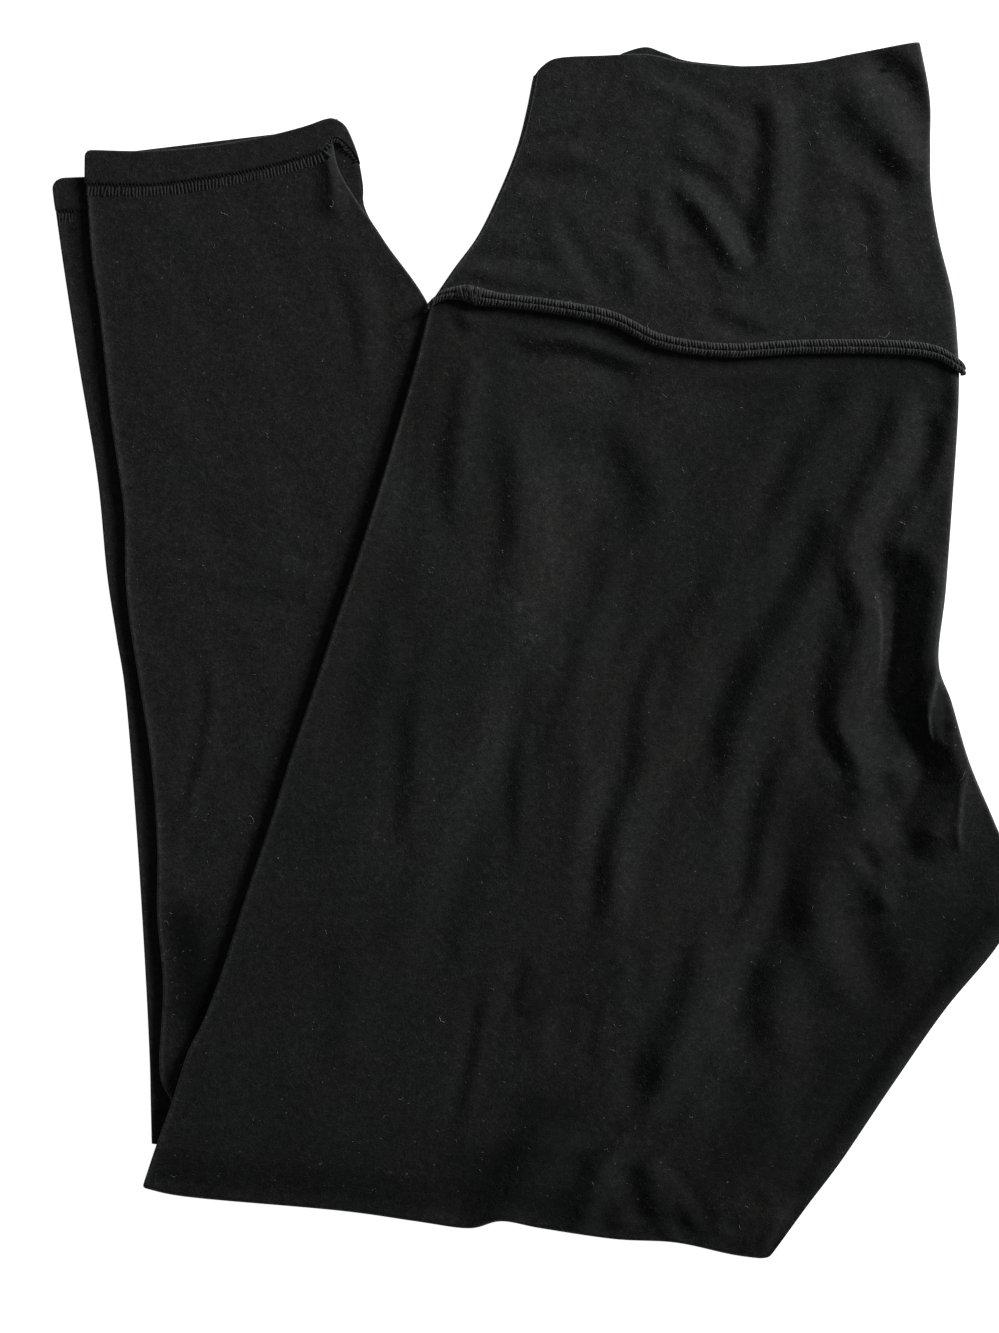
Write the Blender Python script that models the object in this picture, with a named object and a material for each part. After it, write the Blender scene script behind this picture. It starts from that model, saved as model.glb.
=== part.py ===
"""Plain high-rise leggings of brushed jersey, folded in half along the middle and then across the legs.

Lengths in the tables are millimetres. +Z is up, +Y runs from the legs towards the waistband, and the
origin lies on the surface under the middle of the folded garment. The near leg lies on the far leg, with
the side folds at the left (-X) and the centre fold and the crotch at the right. Both lower legs are folded
under at the bottom and come out at the left.

Every piece is a block: a grid across, along and through the cloth, whose points are bent by the piece's
own place function. Side folds, the centre fold and the bottom fold are rounds of the cloth's own wall.
"""

from collections import namedtuple
from math import cos, exp, radians, sin, sqrt

import bmesh
import bpy
from mathutils import Vector

MM = 0.001
MIDDLE = Vector((-0.27, 0.97))   # of the whole, in the tables' own millimetres

# Cloth
PLY = 1.2            # brushed jersey
BAND_PLY = 2.2       # waistband, two layers sewn face to face
SEAM_GAP = 0.3       # between pieces that meet
SEAM_EASE = 0.9      # between waistband and leg, under the waist seam

# Heights of the stack above the surface
PRESSED_PAIR = 2.7   # two plies of the lowest leg
FAR_BACK = 3.0       # underside of the far leg's lower ply
FAR_TOP = 6.4        # top of the far leg's upper ply
SEAT_TOP = 6.2       # four plies, where no lower leg lies under them
LEGS_UNDER = 6.2     # what the two lower legs add under the rest
BAND_TOP = 10.4      # four waistband layers
BAND_FRONT = 5.0     # underside of the waistband layer that peeks out
BAND_PAIR = 4.7      # top of the lowest two waistband layers
HIDDEN_DROP = 3.2    # from the top of the near leg to the layers inside
LEG_SLOPE = 60.0     # width over which the cloth climbs on to the lower legs
LEG_CLIMB = 22.0     # how far outside their edge it is half way up
SEAM_SLOPE = 16.0    # length over which it falls from the waist seam

# Folded edges: reach in plan, depth from the top
SIDE_REACH, SIDE_DEPTH = 3.6, 1.8
BAND_SIDE_REACH, BAND_SIDE_DEPTH = 3.0, 2.6
CENTRE_REACH, INSEAM_REACH, INSEAM_DEPTH = 4.4, 4.0, 1.7
BAND_CENTRE_REACH = 5.0
BOTTOM_REACH = 6.2
LOWER_REACH, LOWER_DEPTH = 3.0, 1.5

# Seams and hems
ROLL_HALF, ROLL_RISE, ROLL_EDGE, ROLL_GAP = 3.0, 1.6, 0.5, 0.65
KNOT_AT, KNOT_HALF, KNOT_RISE = -28.5, 7.0, 0.8
SIDE_SEAM_IN, SIDE_SEAM_HALF, SIDE_SEAM_RISE = 3.6, 0.9, 0.6
HEM_DEPTH, HEM_PLY = 14.0, 1.0
HEM_IN = 1.9         # the ply ends this far inside the hem's own fold
HEM_REACH = 1.7      # of the hem's round, in plan

# Sections of the upper leg, from the waist seam to the bottom fold: the side fold, then the centre fold
# as far as the crotch and the inseam below it.
Section = namedtuple("Section", "left_x left_y right_x right_y")
LEG_SECTIONS = [Section(*row) for row in (
    (-45.0, 146.5, 177.5, 120.0),
    (-51.5, 120.0, 177.0, 97.5),
    (-61.5, 85.0, 175.0, 66.0),
    (-74.5, 43.0, 172.0, 26.0),
    (-84.0, 15.0, 169.0, -3.5),
    (-94.5, -17.0, 174.5, -21.0),
    (-103.0, -42.0, 182.0, -46.5),
    (-112.5, -72.5, 192.5, -71.5),
    (-122.0, -101.0, 204.0, -101.0),
    (-132.0, -132.5, 194.0, -123.0),
    (-140.0, -154.0, 171.5, -150.5),
    (-147.0, -168.5, 149.5, -182.0),
    (-153.5, -189.0, 128.5, -213.0),
    (-160.0, -207.0, 112.5, -233.5),
    (-166.0, -225.0, 96.5, -255.0),
)]
CROTCH_SHARE = 8 / 14   # how far down those sections the crotch lies

BAND_SECTIONS = [Section(*row) for row in (
    (-2.0, 241.0, 160.0, 255.5),
    (-5.0, 226.0, 164.5, 232.5),
    (-9.0, 211.0, 165.0, 213.0),
    (-16.0, 193.5, 165.5, 194.0),
    (-25.0, 175.0, 169.0, 173.0),
    (-35.5, 160.5, 175.0, 148.0),
    (-45.0, 146.5, 177.5, 120.0),
)]

# Sections of the lower leg that lies second: its side fold, then either its own inseam or, from the
# fourth row on, the line where the upper leg hides it.
LOWER_SECTIONS = [Section(*row) for row in (
    (-189.7, 210.0, -87.0, 224.0),
    (-189.7, 197.0, -83.0, 202.0),
    (-187.5, 166.0, -65.0, 174.0),
    (-184.0, 140.5, -47.0, 142.0),
    (-179.5, 98.5, -50.5, 99.0),
    (-174.0, 59.0, -60.0, 59.0),
    (-172.5, 20.5, -73.0, 20.5),
    (-163.0, -42.5, -93.5, -42.5),
    (-160.0, -81.5, -106.0, -81.5),
    (-160.0, -110.0, -114.5, -110.0),
    (-157.5, -140.5, -124.5, -142.0),
    (-159.0, -175.5, -139.0, -176.0),
    (-154.0, -189.0, -143.5, -190.0),
)]
BACK_EDGE = ((-82.0, 224.0), (-74.0, 202.0), (-62.0, 170.0), (-45.0, 142.0))  # inseam of its lower ply

# Sections of the lowest leg: its side fold, then how far it reaches under the other one.
LOWEST_SECTIONS = [Section(*row) for row in (
    (-204.5, 197.0, -88.0, 214.0),
    (-200.0, 164.5, -70.0, 170.0),
    (-193.5, 122.5, -49.0, 126.0),
    (-185.5, 74.0, -53.0, 76.0),
    (-181.5, 33.5, -67.0, 34.0),
    (-177.5, 7.0, -76.0, 7.0),
    (-173.5, -19.0, -84.0, -19.0),
    (-169.0, -74.5, -101.0, -74.5),
    (-165.5, -130.0, -121.0, -130.0),
    (-163.5, -170.0, -140.0, -171.0),
    (-163.0, -190.0, -150.0, -190.5),
    (-162.6, -207.0, -159.0, -207.5),
)]

BAND_EDGE = ((-2.0, 241.0), (2.0, 246.0), (9.0, 249.5), (28.0, 250.5), (46.0, 251.0), (60.5, 248.0),
             (82.5, 246.0), (112.5, 247.5), (131.5, 251.0), (158.0, 256.0), (160.0, 255.5))
FRONT_EDGE = ((0.0, 240.0), (10.0, 247.5), (29.0, 248.5), (36.0, 252.0), (45.5, 254.5), (53.5, 252.0),
              (68.0, 248.0), (112.0, 246.0), (156.0, 253.0))
SEAM_LINE = ((-45.0, 146.5), (-41.0, 149.5), (-32.0, 151.0), (-21.5, 148.5), (6.0, 145.0), (31.0, 140.0),
             (51.5, 130.5), (79.0, 126.5), (110.5, 128.0), (144.5, 128.0), (166.0, 126.0), (177.5, 120.0))
BOTTOM_LINE = ((-166.0, -225.0), (-145.5, -229.0), (-84.0, -234.5), (-51.5, -239.0), (-29.0, -242.0),
               (-15.5, -239.0), (1.5, -242.0), (32.0, -246.5), (58.0, -248.0), (81.5, -253.0),
               (96.5, -255.0))
LEG_UNDER_EDGE = ((-45.0, 142.0), (97.5, -247.0))   # inseam of the lower legs, under the upper ones

# Largest folds: where each starts, passes and ends, half its width, and its height, below 0 for a trough.
Fold = namedtuple("Fold", "x0 y0 x1 y1 x2 y2 half height")
LEG_FOLDS = [Fold(*row) for row in (
    (162.0, 106.0, 143.0, 38.5, 136.5, -41.5, 6.0, 2.4),     # down from the seat to the crotch
    (155.0, 45.0, 153.5, 5.0, 163.0, -36.0, 5.0, -1.0),
    (123.5, 59.0, 101.5, 20.5, 76.0, -43.0, 9.0, -0.9),
    (128.5, 111.0, 68.0, 26.0, 43.0, -28.5, 10.0, -1.0),     # long one across the thigh
    (43.0, -28.5, 37.0, -58.0, 28.0, -113.5, 9.0, -1.0),
    (110.0, 59.0, 69.5, 0.0, 60.0, -31.5, 9.0, 1.6),
    (126.5, -3.5, 122.0, -45.0, 113.0, -78.5, 7.0, -0.8),
    (105.0, -43.0, 93.0, -66.5, 88.0, -105.0, 6.0, -0.8),
    (121.5, -88.0, 103.0, -116.5, 93.5, -150.5, 7.0, -1.0),
    (101.5, -96.5, 74.5, -163.5, 18.0, -236.0, 9.0, 2.6),    # ridge that runs out at the bottom fold
    (66.0, -123.5, 39.5, -192.5, 16.0, -230.0, 8.0, -1.0),
    (21.0, -207.0, 4.0, -222.0, -12.5, -236.0, 5.0, 2.0),
    (-24.0, -153.5, -30.0, -175.0, -37.0, -196.5, 8.0, -0.8),
    (-67.5, -116.5, -80.0, -155.0, -85.0, -195.0, 8.0, -0.8),
    (-12.5, 84.0, -18.0, 30.0, -52.5, -45.0, 13.0, 1.4),     # broad soft one by the side fold
)]
BAND_FOLDS = [Fold(*row) for row in (
    (95.5, 232.0, 94.0, 195.0, 91.5, 165.0, 5.0, -0.7),
    (107.0, 228.0, 105.0, 190.0, 102.0, 158.0, 6.0, 1.2),
    (66.0, 198.5, 78.0, 180.0, 88.0, 163.0, 4.0, 1.8),       # short slanting ridge
    (61.0, 190.0, 70.0, 176.0, 79.5, 165.0, 4.0, -0.7),
    (135.0, 243.5, 157.0, 222.0, 164.0, 192.0, 5.0, 1.2),
    (-2.0, 203.0, 15.0, 198.0, 34.0, 193.0, 8.0, -0.6),
)]
LOWER_FOLDS = [Fold(*row) for row in (
    (-126.0, 25.0, -106.0, 21.5, -92.0, 18.0, 7.0, -0.6),
    (-79.5, 169.0, -75.0, 155.0, -71.0, 142.0, 6.0, 1.4),
    (-135.0, -40.0, -146.0, -55.0, -152.0, -76.0, 5.0, -0.5),
)]

JERSEY = ("brushed_jersey", (0.0120, 0.0128, 0.0125), 0.92)
BAND_JERSEY = ("waistband_jersey", (0.0135, 0.0140, 0.0138), 0.90)
THREAD = ("seam_thread", (0.0150, 0.0155, 0.0155), 0.80)
INNER = ("folded_layers", (0.0100, 0.0105, 0.0105), 0.95)


def smooth(t):
    """From 0 to 1 with soft ends."""
    t = min(1.0, max(0.0, t))
    return t * t * (3.0 - 2.0 * t)


def mix(a, b, t):
    return a + (b - a) * t


def curve(points):
    """A smooth line through the points, read by a number from 0 at the first to 1 at the last. It runs on
    past both ends."""
    points = [Vector(p) for p in points]
    last = len(points) - 1

    def at(t):
        t *= last
        i = min(max(int(t), 0), last - 1)
        t -= i
        p1, p2 = points[i], points[i + 1]
        p0 = points[i - 1] if i > 0 else 2 * p1 - p2
        p3 = points[i + 2] if i + 2 <= last else 2 * p2 - p1
        return 0.5 * (2 * p1 + (p2 - p0) * t + (2 * p0 - 5 * p1 + 4 * p2 - p3) * t ** 2
                      + (3 * p1 - 3 * p2 + p3 - p0) * t ** 3)

    return at


def even_curve(points, steps=96):
    """The same line, read by its share of length."""
    line = curve(points)
    fine = [line(i / steps) for i in range(steps + 1)]
    run = [0.0]
    for a, b in zip(fine, fine[1:]):
        run.append(run[-1] + (b - a).length)

    def at(t):
        want = t * run[-1]
        i = max((k for k in range(steps) if run[k] <= want), default=0)
        return fine[i].lerp(fine[i + 1], (want - run[i]) / (run[i + 1] - run[i]))

    return at


class Panel:
    """A stretch of cloth in plan, between two side edges and two end lines; u runs across it, v along."""

    def __init__(self, sections, start=None, end=None):
        self.left = curve([(s.left_x, s.left_y) for s in sections])
        self.right = curve([(s.right_x, s.right_y) for s in sections])
        self.start = even_curve(start) if start else self.straight(0.0)
        self.end = even_curve(end) if end else self.straight(1.0)

    def straight(self, v):
        a, b = self.left(v), self.right(v)
        return lambda u: a.lerp(b, u)

    def point(self, u, v):
        sides = self.left(v).lerp(self.right(v), u)
        ends = self.start(u).lerp(self.end(u), v)
        corners = self.left(0).lerp(self.right(0), u).lerp(self.left(1).lerp(self.right(1), u), v)
        return sides + ends - corners

    def across(self, v):
        """Length of the section at v."""
        return (self.right(v) - self.left(v)).length

    def along(self, u, v):
        """Millimetres for each unit of v, near this point."""
        a = min(max(v, 0.01), 0.99)
        return (self.point(u, a + 0.01) - self.point(u, a - 0.01)).length / 0.02

    def inset(self, share, v, left, right):
        """u at a share of the section from `left` inside one edge to `right` inside the other."""
        width = self.across(v)
        return (left + share * (width - left - right)) / width


upper_leg = Panel(LEG_SECTIONS, SEAM_LINE, BOTTOM_LINE)
waistband = Panel(BAND_SECTIONS, BAND_EDGE, SEAM_LINE)
front_band = Panel(BAND_SECTIONS, FRONT_EDGE, SEAM_LINE)
lower_leg = Panel(LOWER_SECTIONS)
lowest_leg = Panel(LOWEST_SECTIONS)
seam_line = even_curve(SEAM_LINE)


def fold_path(fold, steps=8):
    """Points along the bent line of a fold."""
    a, b, c = Vector((fold.x0, fold.y0)), Vector((fold.x1, fold.y1)), Vector((fold.x2, fold.y2))
    middle = 2 * b - (a + c) / 2
    return [a.lerp(middle, t).lerp(middle.lerp(c, t), t) for t in (i / steps for i in range(steps + 1))]


def distance_to(path, point):
    """Shortest distance from a point to the path's straight stretches."""
    best = 1e9
    for a, b in zip(path, path[1:]):
        run = b - a
        t = min(max((point - a).dot(run) / run.length_squared, 0.0), 1.0)
        best = min(best, (point - a - run * t).length)
    return best


FOLD_PATHS = {fold: fold_path(fold) for fold in LEG_FOLDS + BAND_FOLDS + LOWER_FOLDS}


def folds_at(folds, point):
    """What the folds add to the height at a point."""
    return sum(f.height * exp(-((distance_to(FOLD_PATHS[f], point) / f.half) ** 2)) for f in folds)


def seam_y(x):
    """How far up the waist seam lies at this x."""
    low, high = 0.0, 1.0
    for _ in range(20):
        middle = (low + high) / 2
        low, high = (middle, high) if seam_line(middle).x < x else (low, middle)
    return seam_line(low).y


def leg_ground(point):
    """Top of the near leg without its folds."""
    a, b = (Vector(p) for p in LEG_UNDER_EDGE)
    run = (b - a).normalized()
    outside = (point - a).dot(Vector((run.y, -run.x)))
    climbed = SEAT_TOP + LEGS_UNDER * smooth(0.5 + (outside + LEG_CLIMB) / LEG_SLOPE)
    near_seam = exp(-((max(seam_y(point.x) - point.y, 0.0) / SEAM_SLOPE) ** 2))
    return mix(climbed, BAND_TOP - 0.4, near_seam)


def leg_folds(point):
    """Height of the near leg's folds, which die out at the waist seam."""
    return smooth((seam_y(point.x) - point.y) / 14.0) * folds_at(LEG_FOLDS, point)


def band_folds(point):
    return smooth((point.y - seam_y(point.x)) / 10.0) * folds_at(BAND_FOLDS, point)


def turned(reach, depth, deep, turn):
    """(how far inside the outline, how far below the top) a point of the wall lies, `deep` under its
    outer face, at a turn of 90 degrees where a folded edge begins and 0 where it is widest."""
    turn = radians(turn)
    return reach - (reach - deep) * cos(turn), depth - (depth - deep) * sin(turn)


Column = namedtuple("Column", "side turn share")
Row = namedtuple("Row", "turn share")


def columns(count, left=(), right=()):
    """Columns across a panel: the turns of a left folded edge, even shares, and those of a right one."""
    first, last = (0 if left else -1), (count if right else count + 1)
    return ([Column(-1, t, 0.0) for t in left]
            + [Column(0, 0.0, (i - first) / (last - first)) for i in range(first + 1, last)]
            + [Column(1, t, 1.0) for t in reversed(right)])


def shares(count, low=0.0, high=1.0):
    return [mix(low, high, i / count) for i in range(count + 1)]


def leg_rows():
    """Shares of the way down the upper leg, closer together round the crotch."""
    return shares(12, 0.0, 0.45) + shares(12, 0.47, 0.69) + shares(7, 0.73, 0.96)


def material(finish):
    name, colour, roughness = finish
    made = bpy.data.materials.get(name)
    if made is None:
        made = bpy.data.materials.new(name)
        made.use_nodes = True
        shader = made.node_tree.nodes["Principled BSDF"]
        shader.inputs["Base Color"].default_value = (*colour, 1.0)
        shader.inputs["Roughness"].default_value = roughness
        shader.inputs["Metallic"].default_value = 0.0
    return made


def block(name, finish, across, along, through, place):
    """One closed solid: the six sides of a grid, with each point where place(column, row, level) says."""
    mesh = bmesh.new()
    made = {}

    def corner(*at):
        if at not in made:
            i, j, k = at
            x, y, z = place(across[i], along[j], through[k])
            made[at] = mesh.verts.new(Vector((x - MIDDLE.x, y - MIDDLE.y, z)) * MM)
        return made[at]

    size = (len(across) - 1, len(along) - 1, len(through) - 1)
    for axis in range(3):
        one, two = [a for a in range(3) if a != axis]
        for fixed in (0, size[axis]):
            for m in range(size[one]):
                for n in range(size[two]):
                    ring = []
                    for step_m, step_n in ((0, 0), (1, 0), (1, 1), (0, 1)):
                        at = [0, 0, 0]
                        at[axis], at[one], at[two] = fixed, m + step_m, n + step_n
                        ring.append(corner(*at))
                    mesh.faces.new(ring)
    bmesh.ops.recalc_face_normals(mesh, faces=mesh.faces)
    for face in mesh.faces:
        face.smooth = True
    data = bpy.data.meshes.new(name)
    mesh.to_mesh(data)
    mesh.free()
    data.set_sharp_from_angle(angle=radians(50))
    data.materials.append(material(finish))
    obj = bpy.data.objects.new(name, data)
    bpy.context.scene.collection.objects.link(obj)
    return obj


SOFT_TURNS = (-60.0, -25.0, 10.0, 45.0, 90.0)
FULL_TURNS = (-90.0, -52.0, -18.0, 18.0, 52.0, 90.0)


def centre_fold(v):
    """(reach, depth, lowest turn) of the near leg's right edge at v: a round of the whole stack as far as
    the crotch, then the round of the near leg's own inseam."""
    below = smooth((v - CROTCH_SHARE + 0.07) / 0.14)
    reach = mix(mix(BAND_CENTRE_REACH, CENTRE_REACH, smooth(v / 0.06)), INSEAM_REACH, below)
    half = leg_ground(upper_leg.point(1.0, v)) / 2
    return reach, mix(half, INSEAM_DEPTH, below), mix(-90.0, -60.0, below)


def side_fold(v):
    """(reach, depth) of the near leg's left edge, which starts as the waistband's."""
    reach = mix(BAND_SIDE_REACH, SIDE_REACH, smooth(v / 0.06))
    return reach, mix(BAND_SIDE_DEPTH, SIDE_DEPTH, smooth(v / 0.03))


def leg_along(u, share, inside):
    """v at a share of the way from just under the waist seam to `inside` the bottom fold."""
    start, end = SEAM_EASE / upper_leg.along(u, 0.0), 1.0 - inside / upper_leg.along(u, 1.0)
    return mix(start, end, share)


def near_leg_point(column, row, deep):
    """A point of the near leg's upper stretch, `deep` under its outer face."""
    panel, v = upper_leg, row.share
    right_reach, right_depth, lowest = centre_fold(v)
    left_reach, left_depth = side_fold(v)
    drop, turn = deep, 90.0
    if column.side < 0:
        turn = column.turn
        inside, drop = turned(left_reach, left_depth, deep, turn)
        u = panel.inset(0.0, v, inside, 0.0)
    elif column.side > 0:
        turn = 90.0 - (90.0 - column.turn) / 180.0 * (90.0 - lowest)
        inside, drop = turned(right_reach, right_depth, deep, turn)
        u = panel.inset(1.0, v, 0.0, inside)
    else:
        u = panel.inset(column.share, v, left_reach, right_reach)
    shown = max(sin(radians(turn)), 0.0) * max(sin(radians(row.turn)), 0.0)
    inside = BOTTOM_REACH - (BOTTOM_REACH - drop) * cos(radians(row.turn))
    point = panel.point(u, leg_along(u, v, inside))
    ground = leg_ground(panel.point(1.0, v) if column.side > 0 else point)
    if row.turn < 90.0:
        ground = leg_ground(panel.point(u, 1.0))
    folds = shown * leg_folds(point)
    return (*point, ground / 2 + (ground / 2 + folds - drop) * sin(radians(row.turn)))


def make_near_leg_upper():
    block("near_leg_upper", JERSEY, columns(23, SOFT_TURNS, FULL_TURNS),
          [Row(90.0, s) for s in leg_rows()] + [Row(t, 1.0) for t in (90.0, 55.0, 18.0, -18.0, -55.0, -90.0)],
          (PLY, 0.0), near_leg_point)


def band_point(column, v, deep):
    """A point of the waistband's top layer, `deep` under its outer face."""
    panel, drop, turn = waistband, deep, 90.0
    if column.side < 0:
        turn = column.turn
        inside, drop = turned(BAND_SIDE_REACH, BAND_SIDE_DEPTH, deep, turn)
        u = panel.inset(0.0, v, inside, 0.0)
    elif column.side > 0:
        turn = column.turn
        inside, drop = turned(BAND_CENTRE_REACH, BAND_TOP / 2, deep, turn)
        u = panel.inset(1.0, v, 0.0, inside)
    else:
        u = panel.inset(column.share, v, SIDE_SEAM_IN + SEAM_GAP / 2, BAND_CENTRE_REACH)
    point = panel.point(u, v)
    return (*point, BAND_TOP + max(sin(radians(turn)), 0.0) * band_folds(point) - drop)


def rounded_mouth(row, deep):
    """(v, deep) near the waistband's rolled top edge, whose corners are rounded off."""
    round_off = 0.7 * (1.0 - min(row / 0.02, 1.0))
    return row, mix(deep, BAND_PLY / 2, round_off * 0.7)


def make_waistband_back():
    def place(column, row, deep):
        return band_point(column, *rounded_mouth(row, deep))

    block("waistband_back", BAND_JERSEY, columns(14, (), FULL_TURNS),
          [0.0, 0.01, 0.03] + shares(9, 0.1), (BAND_PLY, BAND_PLY / 2, 0.0), place)


def make_waistband_side():
    """The narrow strip of the front half, round the side fold as far as the side seam."""
    def place(column, row, deep):
        if column.side == 0:
            v, deep = rounded_mouth(row, deep)
            u = waistband.inset(0.0, v, SIDE_SEAM_IN - SEAM_GAP / 2, 0.0)
            point = waistband.point(u, v)
            return (*point, BAND_TOP + band_folds(point) - deep)
        return band_point(column, *rounded_mouth(row, deep))

    strip = [Column(-1, t, 0.0) for t in SOFT_TURNS] + [Column(0, 0.0, 0.0)]
    block("waistband_side", BAND_JERSEY, strip, [0.0, 0.01, 0.03] + shares(10, 0.1),
          (BAND_PLY, BAND_PLY / 2, 0.0), place)


def make_waistband_front():
    """The layer under the top one, which peeks out above it."""
    def place(share, v, level):
        v = mix(0.0, 0.985, v)
        inside = 0.7 if v == 0.0 and level != 0.5 else 0.0
        v += inside / front_band.along(share, v)
        u = front_band.inset(share, v, BAND_SIDE_REACH + 2.6, BAND_CENTRE_REACH + 2.6)
        return (*front_band.point(u, v), BAND_FRONT + level * BAND_PLY)

    block("waistband_front", BAND_JERSEY, shares(20), [0.0, 0.02] + shares(6, 0.12), (0.0, 0.5, 1.0), place)


def make_side_seam():
    """The raised side seam on the waistband, from its top edge to the waist seam."""
    def place(across, v, up):
        u = waistband.inset(0.0, v, SIDE_SEAM_IN + across * SIDE_SEAM_HALF, 0.0)
        point = waistband.point(u, v)
        rise = SEAM_GAP + up * (0.2 + SIDE_SEAM_RISE * sqrt(1.0 - across * across))
        return (*point, BAND_TOP + band_folds(point) + rise)

    block("side_seam", THREAD, (-1.0, -0.5, 0.5, 1.0), shares(14, 0.015, 0.955), (0.0, 1.0), place)


def make_waist_seam():
    """The overlocked roll over the waist seam, round both folded edges, with a knot at the side seam."""
    def place(column, across, up):
        thick = ROLL_GAP + up * (ROLL_EDGE + ROLL_RISE * sqrt(1.0 - across * across))
        panel, v = (waistband, 1.0) if across <= 0 else (upper_leg, 0.0)
        knot = exp(-((seam_line(column.share).x - KNOT_AT) / KNOT_HALF) ** 2) if column.side == 0 else 0.0
        thick += up * KNOT_RISE * knot
        if column.side:
            reach, depth = ((BAND_SIDE_REACH, BAND_SIDE_DEPTH) if column.side < 0
                            else (BAND_CENTRE_REACH, BAND_TOP / 2))
            inside, drop = turned(reach, depth, -thick, column.turn)
            u = panel.inset(0.0, v, inside, 0.0) if column.side < 0 else panel.inset(1.0, v, 0.0, inside)
        else:
            drop = -thick
            u = panel.inset(column.share, v, BAND_SIDE_REACH, BAND_CENTRE_REACH)
        half = ROLL_HALF * (1.0 + 0.3 * knot)
        point = panel.point(u, v + across * half / panel.along(u, v))
        return (*point, BAND_TOP - drop)

    block("waist_seam", THREAD, columns(38, SOFT_TURNS[1:], FULL_TURNS[2:]), (-1.0, -0.7, 0.0, 0.7, 1.0),
          (0.0, 1.0), place)


# The layers inside: how far inside the outline each level ends, from the surface up. Between the second
# and the third the left side steps in over the lower legs, until they leave it.
MOUTH_IN = (1.5, 0.6, 1.4, 0.6, 1.5, 4.0)
LEG_LEFT_IN = (15.0, 14.5, 1.4, 0.5, 1.4, 6.0)
LEG_LEFT_END_IN = (2.2, 1.2, 1.6, 0.5, 1.4, 6.0)
INSEAM_IN = (1.5, 0.6, 1.3, 0.6, 1.5, 6.0)
TOP_LEVEL = 5
LEDGE = 6.8                         # over the lower legs
FOLD_DROP = 3.8                     # from the near leg's top to the layers beside its rounded edge
NOSE_FOOT, NOSE_FLAT = 9.0, 1.6     # at the bottom fold: inset on the surface, and of the round from it
NOSE_IN = 3.0                       # and how much further in both its corners are
LEGS_LEAVE, LEGS_LEFT = 1.895, 1.95   # where the lower legs leave the side fold, on the scale below


def band_height(k):
    return BAND_PAIR * min(k / 4, 1.0)


def even_height(k, ground):
    """Heights of a plain stack of layers under the near leg."""
    return ground - HIDDEN_DROP if k == TOP_LEVEL else (ground - FOLD_DROP) * k / 4


def ledge_height(k, ground):
    """The same where the layers step in over the lower legs."""
    over = ground - FOLD_DROP
    return (0.0, LEDGE - 0.2, LEDGE, (LEDGE + over) / 2, over, ground - HIDDEN_DROP)[k]


def side_inset(v, k):
    """(left, right) inset of level k at v, which runs from 0 to 1 down the waistband, then to 2."""
    below, gone = smooth((v - 1.0) / 0.03), smooth((v - LEGS_LEAVE) / (LEGS_LEFT - LEGS_LEAVE))
    left = mix(mix(MOUTH_IN[k], LEG_LEFT_IN[k], below), LEG_LEFT_END_IN[k], gone)
    crotch = smooth((v - 1.0 - CROTCH_SHARE - 0.05) / 0.06)
    nose = NOSE_IN if v == 2.0 else 0.0
    return left + nose, mix(BAND_CENTRE_REACH + 0.6, INSEAM_IN[k], crotch) + nose


def hidden_height(share, v, k, ground):
    below, gone = smooth((v - 1.0) / 0.03), smooth((v - LEGS_LEAVE) / (LEGS_LEFT - LEGS_LEAVE))
    plain = even_height(k, ground)
    left = mix(ledge_height(k, ground), plain, gone) if ground > LEDGE + FOLD_DROP + 0.1 else plain
    return mix(band_height(k), mix(left, plain, share), below)


def make_hidden_layers():
    """All layers that nothing shows, as one rounded solid with a layered rim."""
    def place(share, v, k):
        panel, along = (waistband, v) if v <= 1.0 else (upper_leg, v - 1.0)
        u = panel.inset(share, along, *side_inset(v, k))
        if v > 1.0:
            along = leg_along(u, along, BOTTOM_REACH)
        if v == 0.0:
            along = MOUTH_IN[k] / panel.along(u, 0.0)
        ground = leg_ground(panel.point(u, along)) if v > 1.0 else BAND_TOP
        height = hidden_height(share, v, k, ground)
        if v == 2.0:
            half = leg_ground(panel.point(u, 1.0)) / 2
            bulge = sqrt(max(0.0, 1.0 - ((height - half) / (half - NOSE_FLAT)) ** 2))
            along = 1.0 - mix(NOSE_FOOT, PLY + 1.2, bulge) / panel.along(u, 1.0)
        return (*panel.point(u, along), height)

    down = shares(6) + [1.0 + s for s in leg_rows()[1:]] + [2.0]
    block("hidden_layers", INNER, shares(12), down, range(TOP_LEVEL + 1), place)


def lower_height(panel, point, u, v):
    """Top of the far leg's lower stretch: folds die out where the upper leg covers it."""
    cover = (1.0 - u) * panel.across(v)
    clear = smooth((cover - 15.0) / 14.0) if v > 0.28 else smooth(cover / 4.0)
    return FAR_TOP + clear * folds_at(LOWER_FOLDS, point)


def far_front_point(column, v, deep):
    """A point of the upper ply of the far leg's lower stretch."""
    panel = lower_leg
    if column.side:
        inside, drop = turned(LOWER_REACH, LOWER_DEPTH, deep, column.turn)
        u = panel.inset(0.0, v, inside, 0.0) if column.side < 0 else panel.inset(1.0, v, 0.0, inside)
    else:
        drop = deep
        u = panel.inset(column.share, v, LOWER_REACH, LOWER_REACH)
    point = panel.point(u, v)
    return (*point, lower_height(panel, point, u, v) - drop)


def make_far_leg_front():
    def place(column, row, deep):
        start = HEM_IN / lower_leg.along(0.5, 0.0)
        return far_front_point(column, mix(start, 1.0, row), deep)

    block("far_leg_front", JERSEY, columns(9, SOFT_TURNS, (0.0, 30.0, 60.0, 90.0)),
          shares(4, 0.0, 0.036) + shares(23, 0.07), (PLY, 0.0), place)


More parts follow.
